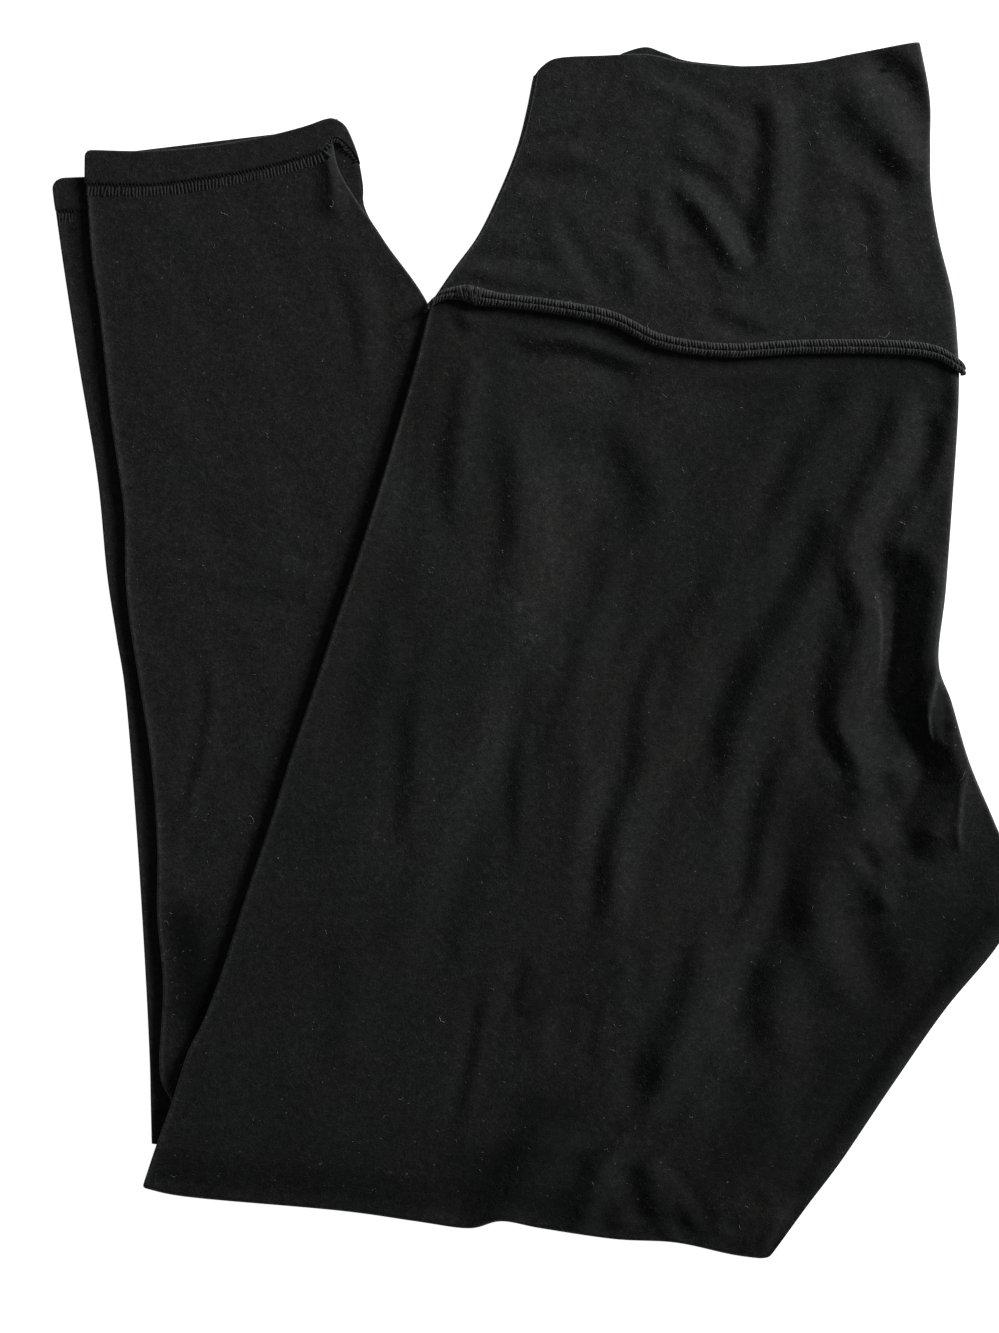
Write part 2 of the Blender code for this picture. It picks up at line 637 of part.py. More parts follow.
def back_edge_x(y):
    """x of the far leg's lower ply's inseam at this y."""
    line = even_curve(BACK_EDGE)
    low, high = 0.0, 1.0
    for _ in range(20):
        middle = (low + high) / 2
        low, high = (middle, high) if line(middle).y > y else (low, middle)
    return line(low).x


def back_plan(share, v, left, right=0.0):
    """A point in plan of the lower ply, which reaches further right than the upper one at the hem."""
    a, b = lower_leg.left(v), lower_leg.right(v)
    if b.y > BACK_EDGE[-1][1]:
        b = Vector((max(b.x, back_edge_x(b.y)), b.y))
    across = (b - a).length
    return a.lerp(b, (left + share * (across - left - right)) / across)


def make_far_leg_back():
    def place(share, row, level):
        v = mix(HEM_IN / lower_leg.along(0.5, 0.0), 1.0, row)
        round_off = 0.4 if level in (0.0, 1.0) else 0.0
        return (*back_plan(share, v, LOWER_REACH + 0.8, round_off), FAR_BACK + level * PLY)

    block("far_leg_back", JERSEY, shares(4), shares(20), (0.0, 0.5, 1.0), place)


# The lowest leg's two plies pressed together: for each level, how far inside the outline and how high.
Level = namedtuple("Level", "inside height")
PAIR = (Level(0.8, 0.0), Level(0.0, 0.65), Level(0.9, 1.35), Level(0.2, 2.05), Level(1.2, PRESSED_PAIR))


def make_near_leg_lower():
    def place(share, v, k):
        level = PAIR[k]
        u = lowest_leg.inset(share, v, level.inside, level.inside)
        length = lowest_leg.along(u, v)
        start = (HEM_IN + level.inside) / length
        along = mix(start, 1.0, v)
        return (*lowest_leg.point(u, along), level.height)

    block("near_leg_lower", JERSEY, shares(4), shares(18), range(len(PAIR)), place)


HEM_ROWS = [Row(t, 0.0) for t in (-10.0, 20.0, 55.0)] + [Row(90.0, s) for s in (0.0, 0.33, 0.67, 1.0)]
HEM_LAYERS = (-SEAM_GAP, -SEAM_GAP - HEM_PLY)


def hem_along(row, deep, length):
    """(v, drop) of a turned hem, which wraps round the end of its ply."""
    inside, drop = turned(HEM_REACH, PLY / 2, deep, row.turn)
    if row.turn < 90.0:
        return (inside + SEAM_GAP + HEM_PLY) / length, drop - deep
    return mix(HEM_REACH + SEAM_GAP + HEM_PLY, HEM_DEPTH, row.share) / length, 0.0


def make_far_hem_front():
    def place(column, row, deep):
        v, drop = hem_along(row, deep, lower_leg.along(0.5, 0.0))
        x, y, z = far_front_point(column, v, deep)
        return x, y, z - drop

    block("far_hem_front", JERSEY, columns(12, (-15.0, 20.0, 55.0, 90.0), (15.0, 50.0, 90.0)), HEM_ROWS,
          HEM_LAYERS, place)


def make_far_hem_back():
    """The stretch of the lower ply's hem that shows past the upper ply."""
    def place(share, row, level):
        v = mix(0.0, HEM_DEPTH, row) / lower_leg.along(0.5, 0.0)
        right = back_plan(1.0, v, 0.0)
        left = lower_leg.right(v) + Vector((SEAM_GAP + HEM_PLY + 0.6, 0.0))
        if right.x < left.x + 1.0:
            right = left + Vector((1.0, 0.0))
        return (*left.lerp(right, share), FAR_BACK + PLY + SEAM_GAP + level * HEM_PLY)

    block("far_hem_back", JERSEY, shares(3), shares(4), (0.0, 1.0), place)


def make_near_hem():
    """The strip of the lowest leg's hem that shows at the far left, turned round the end of its plies."""
    def place(share, row, deep):
        v, drop = hem_along(row, deep, lowest_leg.along(0.1, 0.0))
        left = lowest_leg.left(v)
        right = Vector((lower_leg.left(0.0).x - HEM_PLY - 2 * SEAM_GAP, left.y + 1.5))
        return (*left.lerp(right, share), PRESSED_PAIR - drop - deep)

    block("near_hem", JERSEY, shares(3), HEM_ROWS, HEM_LAYERS, place)


def clear_scene():
    for obj in list(bpy.data.objects):
        bpy.data.objects.remove(obj, do_unlink=True)


def main():
    clear_scene()
    make_near_leg_lower()
    make_near_hem()
    make_far_leg_back()
    make_far_hem_back()
    make_far_leg_front()
    make_far_hem_front()
    make_hidden_layers()
    make_near_leg_upper()
    make_waistband_front()
    make_waistband_back()
    make_waistband_side()
    make_side_seam()
    make_waist_seam()


main()
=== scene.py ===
# %% [markdown]
# # A pair of leggings, folded flat
# Leggings are two tubes of stretch jersey under a wide waistband. This pair lies folded in half along
# its middle, leg on leg, and then once across, so that both lower legs go under at the bottom and come
# out at the left. Nothing is stiff here: the shape is all plies of cloth, one on another, rounded at each
# fold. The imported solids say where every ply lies, and this lesson puts fine cloth in their place.

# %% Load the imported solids
from collections import namedtuple
from math import pi, radians

import bpy
import numpy as np
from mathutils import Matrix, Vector


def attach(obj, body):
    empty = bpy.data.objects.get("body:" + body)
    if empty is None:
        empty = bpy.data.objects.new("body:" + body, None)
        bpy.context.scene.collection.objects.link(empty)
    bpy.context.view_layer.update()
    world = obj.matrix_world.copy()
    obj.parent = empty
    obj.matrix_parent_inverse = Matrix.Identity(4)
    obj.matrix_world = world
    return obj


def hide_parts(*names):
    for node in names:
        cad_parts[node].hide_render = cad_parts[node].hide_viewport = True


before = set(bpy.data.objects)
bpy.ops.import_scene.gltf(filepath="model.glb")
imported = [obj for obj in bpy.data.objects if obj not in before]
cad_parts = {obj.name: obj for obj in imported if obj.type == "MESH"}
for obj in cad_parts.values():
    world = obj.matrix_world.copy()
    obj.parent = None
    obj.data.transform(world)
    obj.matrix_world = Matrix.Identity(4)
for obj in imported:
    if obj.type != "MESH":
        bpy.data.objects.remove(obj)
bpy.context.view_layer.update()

# %% [markdown]
# ## Sizes
# A maker thinks in millimetres, so every size here is one, and a mesh is scaled to metres only when it
# is made. The tables give the pieces' edges in plan, section by section, as they are cut and then
# folded. +Y runs from the legs to the waistband, +X to the centre fold, and +Z is up off the table.

# %% Sizes of the cloth and its stack
MM = 0.001
MIDDLE = np.array((-0.27, 0.97))     # of the whole, in the tables' own millimetres

PLY = 1.2                            # brushed jersey
BAND_PLY = 2.2                       # waistband, two layers
SEAT_TOP, LEGS_UNDER = 6.2, 6.2      # four plies, and what the two lower legs add under them
BAND_TOP, BAND_FRONT = 10.4, 5.0     # the back half's face, and the front half's underside
BAND_PAIR = 4.7                      # two waistbands, as they lie inside the stack
FAR_TOP, FAR_BACK = 6.4, 3.0         # the far leg's face, and its lower ply's underside
LOWEST_TOP, LOWEST_CLIMB = 2.7, 0.45
LEG_SLOPE, LEG_CLIMB = 60.0, 22.0    # how the cloth climbs on to the lower legs
SEAM_SLOPE, SEAM_DIP = 26.0, 0.4     # how the leg sinks away from the waist seam
SEAM_EASE = 0.9                      # how far below the seam line the leg's cloth starts
SIDE_REACH, SIDE_DEPTH = 2.8, 1.8    # folded edges: reach in plan, depth from the top
BAND_SIDE_REACH, BAND_SIDE_DEPTH = 3.0, 2.6
CENTRE_REACH, BAND_CENTRE_REACH = 4.4, 5.0
INSEAM_REACH, INSEAM_DEPTH = 4.0, 1.7
BOTTOM_REACH = 6.2
PRESSED = 0.6                        # power of the rounds that lie pressed: side and bottom folds
BOTTOM_SAG, BOTTOM_EASE = 1.15, 21.0     # how the upper plies sink towards the bottom fold
LOWER_REACH, LOWER_DEPTH = 2.0, 1.5
HEM_IN = 1.9                         # how far inside its hem a leg's cloth starts
SIDE_SEAM_IN = 3.6                   # the waistband's side seam, from its side fold

Section = namedtuple("Section", "left_x left_y right_x right_y")
LEG_SECTIONS = [Section(*row) for row in (
    (-45.0, 146.5, 177.5, 120.0),
    (-51.5, 120.0, 177.0, 97.5),
    (-61.5, 85.0, 175.0, 66.0),
    (-74.5, 43.0, 172.0, 26.0),
    (-84.0, 15.0, 169.0, -3.5),
    (-94.5, -17.0, 174.5, -21.0),
    (-103.0, -42.0, 182.0, -46.5),
    (-112.5, -72.5, 192.5, -71.5),
    (-122.0, -101.0, 204.0, -101.0),
    (-132.0, -132.5, 194.0, -123.0),
    (-140.0, -154.0, 171.5, -150.5),
    (-147.0, -168.5, 149.5, -182.0),
    (-153.5, -189.0, 128.5, -213.0),
    (-160.0, -207.0, 112.5, -233.5),
    (-166.0, -225.0, 96.5, -255.0),
)]
CROTCH_SHARE = 8 / 14                # how far down those sections the crotch lies
BAND_SECTIONS = [Section(*row) for row in (
    (-2.0, 241.0, 160.0, 255.5),
    (-5.0, 226.0, 164.5, 232.5),
    (-9.0, 211.0, 165.0, 213.0),
    (-16.0, 193.5, 165.5, 194.0),
    (-25.0, 175.0, 169.0, 173.0),
    (-35.5, 160.5, 175.0, 148.0),
    (-45.0, 146.5, 177.5, 120.0),
)]
LOWER_SECTIONS = [Section(*row) for row in (
    (-189.7, 210.0, -87.0, 224.0),
    (-189.7, 197.0, -83.0, 202.0),
    (-187.5, 166.0, -65.0, 174.0),
    (-184.0, 140.5, -43.6, 139.5),
    (-179.5, 98.5, -48.0, 99.0),
    (-174.0, 59.0, -60.0, 59.0),
    (-172.5, 20.5, -73.0, 20.5),
    (-163.0, -42.5, -93.5, -42.5),
    (-160.0, -81.5, -106.0, -81.5),
    (-160.0, -110.0, -114.5, -110.0),
    (-157.5, -140.5, -124.5, -142.0),
    (-159.0, -175.5, -139.0, -176.0),
    (-154.0, -189.0, -143.5, -190.0),
)]
BACK_EDGE = ((-84.4, 224.0), (-76.5, 211.0), (-73.4, 197.0), (-72.6, 187.0), (-63.4, 170.0), (-44.0, 138.0))
LOWEST_SECTIONS = [Section(*row) for row in (
    (-204.5, 197.0, -88.0, 214.0),
    (-200.0, 164.5, -70.0, 170.0),
    (-193.5, 122.5, -49.0, 126.0),
    (-185.5, 74.0, -53.0, 76.0),
    (-181.5, 33.5, -67.0, 34.0),
    (-177.5, 7.0, -76.0, 7.0),
    (-173.5, -19.0, -84.0, -19.0),
    (-169.0, -74.5, -101.0, -74.5),
    (-165.5, -130.0, -121.0, -130.0),
    (-163.5, -170.0, -140.0, -171.0),
    (-163.0, -190.0, -150.0, -190.5),
    (-162.6, -207.0, -159.0, -207.5),
)]
BAND_EDGE = ((-2.0, 241.0), (2.0, 246.0), (9.0, 249.5), (28.0, 250.5), (46.0, 251.0), (60.5, 248.0),
             (82.5, 246.0), (112.5, 247.5), (131.5, 251.0), (158.0, 256.0), (160.0, 255.5))
FRONT_EDGE = ((0.0, 240.0), (10.0, 247.5), (29.0, 248.5), (36.0, 252.0), (45.5, 254.5), (53.5, 252.0),
              (68.0, 248.0), (112.0, 246.0), (156.0, 253.0))
SEAM_LINE = ((-45.0, 146.5), (-41.0, 149.5), (-32.0, 151.0), (-21.5, 148.5), (6.0, 145.0), (31.0, 140.0),
             (51.5, 130.5), (79.0, 126.5), (110.5, 128.0), (144.5, 128.0), (166.0, 126.0), (177.5, 120.0))
BOTTOM_LINE = ((-166.0, -225.0), (-145.5, -229.0), (-84.0, -234.5), (-51.5, -239.0), (-29.0, -242.0),
               (-15.5, -239.0), (1.5, -242.0), (32.0, -246.5), (58.0, -248.0), (81.5, -253.0),
               (96.5, -255.0))
HEM_LINE = ((-189.7, 210.0), (-187.0, 211.0), (-165.0, 210.7), (-141.0, 212.7), (-117.0, 216.5),
            (-99.0, 220.5), (-87.0, 224.0))
LEG_UNDER_EDGE = ((-45.0, 142.0), (97.5, -247.0))

# %% [markdown]
# ## Reading the tables
# A panel of cloth is a stretch between two side edges and two end lines. Its points are read by two
# shares, u across and v along, so one small class serves every piece. All of it works on whole grids at
# once, because a fine cloth has tens of thousands of points.

# %% Curves and panels
def smooth(t):
    """From 0 to 1 with soft ends."""
    t = np.clip(t, 0.0, 1.0)
    return t * t * (3.0 - 2.0 * t)


def mix(a, b, t):
    return a + (b - a) * t


def curve(points):
    """A smooth line through the points, read by numbers from 0 to 1; it runs on past both ends."""
    knots = np.array([(2 * points[0][k] - points[1][k]) for k in range(2)])
    after = np.array([(2 * points[-1][k] - points[-2][k]) for k in range(2)])
    knots = np.vstack([knots, np.array(points, float), after])
    last = len(points) - 1

    def at(t):
        t = np.asarray(t, float) * last
        i = np.clip(t.astype(int), 0, last - 1)
        f = (t - i)[..., None]
        p0, p1, p2, p3 = (knots[i + k] for k in range(4))
        return 0.5 * (2 * p1 + (p2 - p0) * f + (2 * p0 - 5 * p1 + 4 * p2 - p3) * f ** 2
                      + (3 * p1 - 3 * p2 + p3 - p0) * f ** 3)

    return at


def even_curve(points, steps=96):
    """The same line, read by its share of length."""
    fine = curve(points)(np.linspace(0.0, 1.0, steps + 1))
    run = np.concatenate([[0.0], np.cumsum(np.linalg.norm(np.diff(fine, axis=0), axis=1))])

    def at(t):
        want = np.asarray(t, float) * run[-1]
        i = np.clip(np.searchsorted(run, want, side="right") - 1, 0, steps - 1)
        f = ((want - run[i]) / (run[i + 1] - run[i]))[..., None]
        return mix(fine[i], fine[i + 1], f)

    return at


def sides_of(sections):
    return [(s.left_x, s.left_y) for s in sections], [(s.right_x, s.right_y) for s in sections]


class Panel:
    """A stretch of cloth in plan; u runs across it and v along, both from 0 to 1."""

    def __init__(self, sections, start=None, end=None):
        self.left, self.right = (curve(side) for side in sides_of(sections))
        self.start = even_curve(start) if start else self.straight(0.0)
        self.end = even_curve(end) if end else self.straight(1.0)

    def straight(self, v):
        a, b = self.left(v), self.right(v)
        return lambda u: mix(a, b, np.asarray(u, float)[..., None])

    def point(self, u, v):
        u, v = np.broadcast_arrays(np.asarray(u, float), np.asarray(v, float))
        across, along = u[..., None], v[..., None]
        sides = mix(self.left(v), self.right(v), across)
        ends = mix(self.start(u), self.end(u), along)
        corners = mix(mix(self.left(0.0), self.right(0.0), across),
                      mix(self.left(1.0), self.right(1.0), across), along)
        return sides + ends - corners

    def width(self, v):
        return np.linalg.norm(self.right(v) - self.left(v), axis=-1)

    def along(self, u, v):
        """Millimetres for each unit of v, near this point."""
        a = np.clip(v, 0.01, 0.99)
        return np.linalg.norm(self.point(u, a + 0.01) - self.point(u, a - 0.01), axis=-1) / 0.02


upper_leg = Panel(LEG_SECTIONS, SEAM_LINE, BOTTOM_LINE)
waistband = Panel(BAND_SECTIONS, BAND_EDGE, SEAM_LINE)
front_band = Panel(BAND_SECTIONS, FRONT_EDGE, SEAM_LINE)
lower_leg = Panel(LOWER_SECTIONS, HEM_LINE)
lowest_leg = Panel(LOWEST_SECTIONS)
seam_line = even_curve(SEAM_LINE)
seam_fine = seam_line(np.linspace(0.0, 1.0, 400))


def seam_y(x):
    """How far up the waist seam lies at this x."""
    return np.interp(x, seam_fine[:, 0], seam_fine[:, 1])


print("waist seam", round(float(np.linalg.norm(np.diff(seam_fine, axis=0), axis=1).sum())), "mm long")

# %% [markdown]
# ## Folds
# Soft cloth has three kinds of fold. A ridge or a trough is a bump along its line. A turn is where the
# cloth tips over to one side: it rises to one side of its line and dips to the other, so one flank takes
# the light and the other loses it. A step is a ply that ends on top of another. Each row gives the kind,
# the width of one side, the size, and the line. The size of a ridge or a step is its height; that of a
# turn is its slope at the line, above 0 where it dips to the right of a line that runs down. A last
# number, if there is one, is the share of the line over which the fold fades out at each end.
#
# Broad patches of the nap are also painted lighter or darker: painted shade along the inseam, at the
# crotch, by the bottom fold and beside the bright crest, and painted light and sheen on crests. Those
# patches are ridges too, and their size is a share of the brightness.

# %% Tables of folds
Fold = namedtuple("Fold", "kind half size path fade", defaults=(0.25,))
RIDGE, TURN, STEP = "ridge", "turn", "step"
FAINT, SOFT, CLEAR = 0.07, 0.13, 0.21    # slopes at the line of a turn
STRONG, SHARP, DEEP = 0.30, 0.45, 0.60
TURN_FULL, TURN_GONE = 1.9, 3.0      # where a turn starts to level out and where it has, in its widths
STEP_BACK = 4.0                      # how soon the ply that makes a step sinks back to the rest

LEG_FOLDS = [Fold(*row) for row in (
    # just under the waist seam
    (TURN, 3.0, -CLEAR, ((-36, 143), (-32, 138), (-28, 134))),
    (TURN, 3.0, SOFT, ((-18, 139), (11, 134), (33, 128), (60, 121))),
    (TURN, 3.0, FAINT, ((60, 121), (83, 118), (105, 119), (125, 120))),
    (TURN, 4.0, -CLEAR, ((-14, 129), (0, 127), (13, 128), (33, 121), (46, 116))),
    # along the side fold and down the outer third
    (TURN, 8.0, SOFT, ((-54, 112), (-62, 66), (-71, 34), (-86, -14), (-100, -60))),
    (TURN, 4.0, FAINT, ((-60, 20), (-59, -8))),
    (TURN, 4.0, -SOFT, ((-33, 128), (-35, 105), (-38, 84), (-38, 64), (-35, 44))),
    (TURN, 4.0, SOFT, ((-24, 132), (-24, 110), (-28, 84), (-29, 62))),
    (TURN, 5.0, -SOFT, ((-16, 104), (-13, 89), (-13, 66), (-13, 49), (-19, 34), (-29, 24))),
    (TURN, 9.0, SOFT, ((-7, 108), (1, 84), (5, 60), (6, 38), (-3, 14), (-9, -12))),
    (TURN, 4.0, -FAINT, ((-43, 12), (-50, -10), (-54, -26))),
    (TURN, 5.0, -SOFT, ((-50, -10), (-55, -26), (-55, -44), (-57, -70), (-62, -88))),
    (TURN, 7.0, SOFT, ((-6, 6), (-14, -18), (-18, -40), (-27, -64), (-38, -90), (-44, -106), (-52, -124),
     (-60, -148))),
    (TURN, 8.0, -FAINT, ((-80, -120), (-84, -150), (-88, -182))),
    (TURN, 3.5, -SOFT, ((-6, -28), (-10, -50), (-10, -80), (-16, -96))),
    (TURN, 3.0, -SOFT, ((-33, -118), (-36, -130))),
    # down the middle
    (TURN, 8.0, -SOFT, ((26, 104), (34, 86), (43, 66), (40, 50), (28, 37), (22, 18))),
    (TURN, 5.0, SOFT, ((23, 78), (21, 58), (20, 44))),
    (TURN, 5.0, SOFT, ((38, 40), (33, 22), (28, 2), (24, -20))),
    (TURN, 4.0, -SOFT, ((19, 14), (13, -8), (8, -26), (3, -38), (0, -52))),
    (TURN, 4.0, SOFT, ((25, -8), (22, -22), (19, -42), (14, -52))),
    (TURN, 5.0, SOFT, ((27, -36), (23, -65), (22, -92))),
    (TURN, 5.0, -CLEAR, ((84, 48), (75, 34), (66, 20), (57, 11), (50, 1), (44, -13), (41, -26), (40, -38),
     (38, -56), (31, -68), (27, -80), (27, -104), (22, -117), (13, -125)), 0.15),
    (TURN, 3.0, -SOFT, ((59, 2), (55, -12), (50, -24))),
    (TURN, 5.5, CLEAR, ((112, 68), (103, 50), (100, 38), (90, 25), (72, 4), (68, -15), (55, -45), (47, -65),
     (40, -88), (36, -107), (34, -120)), 0.15),
    (TURN, 4.0, SOFT, ((40, -122), (39, -137), (36, -152))),
    (TURN, 5.0, SOFT, ((14, -138), (6, -154), (5, -172))),
    (TURN, 3.0, -SOFT, ((27, -144), (24, -160), (23, -178))),
    (TURN, 4.0, -CLEAR, ((-2, -126), (-6, -138), (-11, -152))),
    (TURN, 3.0, -CLEAR, ((-20, -134), (-24, -150), (-27, -168), (-32, -190), (-38, -204))),
    # between the middle and the crotch
    (TURN, 4.0, SOFT, ((120, 116), (104, 96), (93, 78))),
    (TURN, 6.0, -CLEAR, ((134, 120), (125, 103), (114, 90), (105, 74), (98, 56), (88, 44))),
    (TURN, 6.0, -STRONG, ((121, 64), (120, 50), (111, 30), (100, 13), (91, 1), (84, -17), (76, -38),
     (72, -54)), 0.15),
    (TURN, 6.5, CLEAR, ((130, 38), (117, 17), (108, -4), (101, -22), (90, -44), (83, -70), (80, -90))),
    (TURN, 5.0, -FAINT, ((150, 111), (144, 94), (134, 78), (127, 58))),
    (TURN, 5.0, -STRONG, ((131, 14), (124, -6), (121, -26), (125, -42), (134, -52))),
    (TURN, 4.0, -SOFT, ((113, -36), (118, -50), (126, -61))),
    (TURN, 5.0, -CLEAR, ((106, -40), (98, -52), (93, -66), (91, -83), (90, -96), (86, -112))),
    (TURN, 8.0, -CLEAR, ((128, -76), (116, -90), (110, -105), (108, -118), (100, -130), (94, -141),
     (92, -153), (96, -166), (100, -180))),
    (TURN, 4.5, STRONG, ((101, -78), (100, -92), (96, -107), (90, -120), (82, -137), (75, -150), (67, -162),
     (59, -178), (53, -192), (46, -199), (38, -207), (33, -217), (23, -238), (16, -256)), 0.12),
    (TURN, 10.0, CLEAR, ((88, -124), (76, -148), (66, -168), (58, -190))),
    (TURN, 5.5, -CLEAR, ((72, -108), (63, -133), (57, -151), (47, -170), (43, -188), (33, -201))),
    # the bright crest and the hollow beside it
    (TURN, 5.5, SHARP, ((163, 114), (159, 97), (151, 77), (144, 63), (137, 45), (138, 32), (143, 20),
     (144, 7), (142, -8), (136, -21), (133, -29), (139, -43), (142, -54), (138, -66), (131, -76)), 0.12),
    (TURN, 3.0, CLEAR, ((132, -80), (137, -90), (142, -95))),
    (TURN, 4.0, -SOFT, ((174, 120), (173, 100))),
    (TURN, 4.0, -CLEAR, ((171, 98), (167, 80), (161, 62))),
    (TURN, 2.5, SOFT, ((169, 68), (161, 57), (153, 54))),
    (TURN, 8.0, -DEEP, ((162, 46), (160, 27), (157, 8), (155, -13), (157, -27), (164, -37), (170, -50),
     (165, -62), (158, -72), (152, -86)), 0.12),
    (TURN, 5.0, SOFT, ((150, -42), (155, -56), (152, -68), (146, -78))),
    (TURN, 4.0, -SOFT, ((134, -98), (140, -103), (146, -111))),
    (TURN, 4.0, SOFT, ((154, -88), (149, -98), (150, -110))),
    (TURN, 8.0, CLEAR, ((130, -98), (126, -110), (128, -122), (134, -138), (134, -154))),
    # inside the inseam
    (TURN, 6.0, -SOFT, ((190, -86), (185, -105), (177, -121), (164, -138))),
    (TURN, 6.0, -SOFT, ((188, -116), (170, -142), (150, -170), (127, -204), (112, -226))),
    (TURN, 6.0, SOFT, ((116, -162), (109, -180), (101, -204))),
    (TURN, 3.8, SHARP, ((203, -99), (192.5, -122), (170, -149.5), (148, -181), (127, -212),
     (111, -232.5)), 0.10),
    # at the bottom fold, with their lines run out past it
    (TURN, 8.0, -CLEAR, ((8, -190), (-6, -204), (-14, -220), (-26, -236), (-34, -250))),
    (TURN, 4.5, CLEAR, ((26, -204), (14, -213), (3, -225), (-8, -236), (-22, -250))),
    (TURN, 5.0, -CLEAR, ((25, -209), (20, -222), (10, -232), (-2, -240), (-12, -252))),
    (TURN, 5.0, -CLEAR, ((42, -212), (45, -228), (49, -242))),
    (TURN, 3.0, -SOFT, ((24, -241), (42, -243), (60, -245))),
    (TURN, 3.0, SOFT, ((53, -215), (62, -228), (72, -244))),
    (TURN, 3.0, SOFT, ((54, -238), (60, -246), (66, -254))),
    (TURN, 5.0, -CLEAR, ((100, -230), (91, -240), (80, -248))),
    (TURN, 2.5, STRONG, ((110, -230), (102, -240), (94, -254))),
    # where a ply ends on another at the crotch
    (RIDGE, 3.6, -1.5, ((173, -5), (171, -16), (170, -28), (172, -42))),
    (STEP, 0.5, 2.4, ((169.6, 0), (168.6, -7), (167, -14.2), (165.1, -22.6), (164.5, -28.9), (165.3, -34.3),
     (167, -40)), 0.22),
    (STEP, 0.45, 1.9, ((181.2, -43), (181, -46), (180.4, -51.6), (178.7, -59.5), (177.9, -68.4),
     (177.5, -75), (177.9, -86)), 0.22),
    (STEP, 0.5, 0.9, ((140.5, 32), (141.9, 27.1), (143.8, 19.4), (144.9, 9), (144.9, 1.3), (143.8, -9.1),
     (141.5, -16)), 0.30),
)]

BAND_FOLDS = [Fold(*row) for row in (
    # from the side seam inwards
    (TURN, 3.0, SOFT, ((-6, 209), (6, 213), (20, 213))),
    (TURN, 4.0, -SOFT, ((-8, 201), (8, 202), (26, 206))),
    (TURN, 4.0, SOFT, ((4, 186), (14, 166), (24, 152), (30, 148))),
    (TURN, 3.0, SOFT, ((-36, 159), (-22, 163), (0, 161), (14, 160))),
    (TURN, 3.0, -SOFT, ((-34, 158), (-18, 155), (0, 151), (22, 148))),
    (TURN, 4.0, SOFT, ((28, 175), (38, 172), (46, 162), (50, 152))),
    (TURN, 3.0, -FAINT, ((36, 164), (37, 146))),
    (TURN, 4.0, -SOFT, ((45, 197), (45, 186), (44, 176))),
    (TURN, 3.0, SOFT, ((56, 184), (57, 172), (57, 158))),
    # the two long creases and what lies about them
    (TURN, 3.5, SOFT, ((36, 244), (56, 238), (70, 231), (79, 224), (84, 214))),
    (TURN, 6.0, SOFT, ((60, 224), (68, 215), (74, 203))),
    (TURN, 4.5, STRONG, ((52, 196), (61, 197), (70, 192), (80, 178), (90, 161))),
    (TURN, 4.5, -CLEAR, ((60, 190), (68, 179), (76, 168), (85, 154))),
    (TURN, 4.0, -SOFT, ((62, 176), (71, 161), (78, 148))),
    (TURN, 5.0, -CLEAR, ((94, 236), (95.5, 214), (93.5, 188), (91, 158)), 0.15),
    (TURN, 5.0, SOFT, ((101, 238), (107, 216), (107, 192), (104, 164))),
    (TURN, 4.0, -SOFT, ((70, 147), (84, 138), (98, 135))),
    # towards the centre fold
    (TURN, 3.0, -FAINT, ((108, 243), (113, 234))),
    (TURN, 4.0, -SOFT, ((138, 250), (150, 248), (158, 242), (162, 232))),
    (TURN, 7.0, STRONG, ((128, 248), (142, 238), (152, 228), (159, 215), (164, 196))),
    (TURN, 6.0, -SOFT, ((124, 234), (134, 218), (142, 210), (162, 193))),
    (TURN, 5.0, -SOFT, ((134, 200), (141, 184), (142, 168), (145, 157), (152, 149))),
)]

LOWER_FOLDS = [Fold(*row) for row in (
    (RIDGE, 5.0, 1.10, ((-87.4, 216), (-86.6, 205), (-86, 195), (-85.5, 180))),
    (RIDGE, 1.5, 0.40, ((-87, 214), (-86.4, 205), (-86.2, 196), (-86.5, 186))),
    (TURN, 3.0, -SOFT, ((-137, 29), (-125, 24), (-113, 25), (-100, 21.5), (-90, 22))),
    (TURN, 3.0, -FAINT, ((-84, 168), (-82, 154), (-76, 132), (-74, 114))),
    (TURN, 4.5, SOFT, ((-73, 166), (-68, 146), (-67, 128), (-71, 108))),
    (TURN, 3.0, -SOFT, ((-139, 0), (-139, -22), (-142, -42), (-150, -72))),
    (TURN, 3.0, SOFT, ((-140, -57), (-146, -72), (-153, -84))),
    (TURN, 3.0, FAINT, ((-172, 33), (-158, 38), (-139, 38))),
    (TURN, 4.0, SOFT, ((-110, 40), (-97, 35), (-88, 40))),
    (TURN, 3.0, FAINT, ((-135, 152), (-126, 156), (-117, 160))),
)]
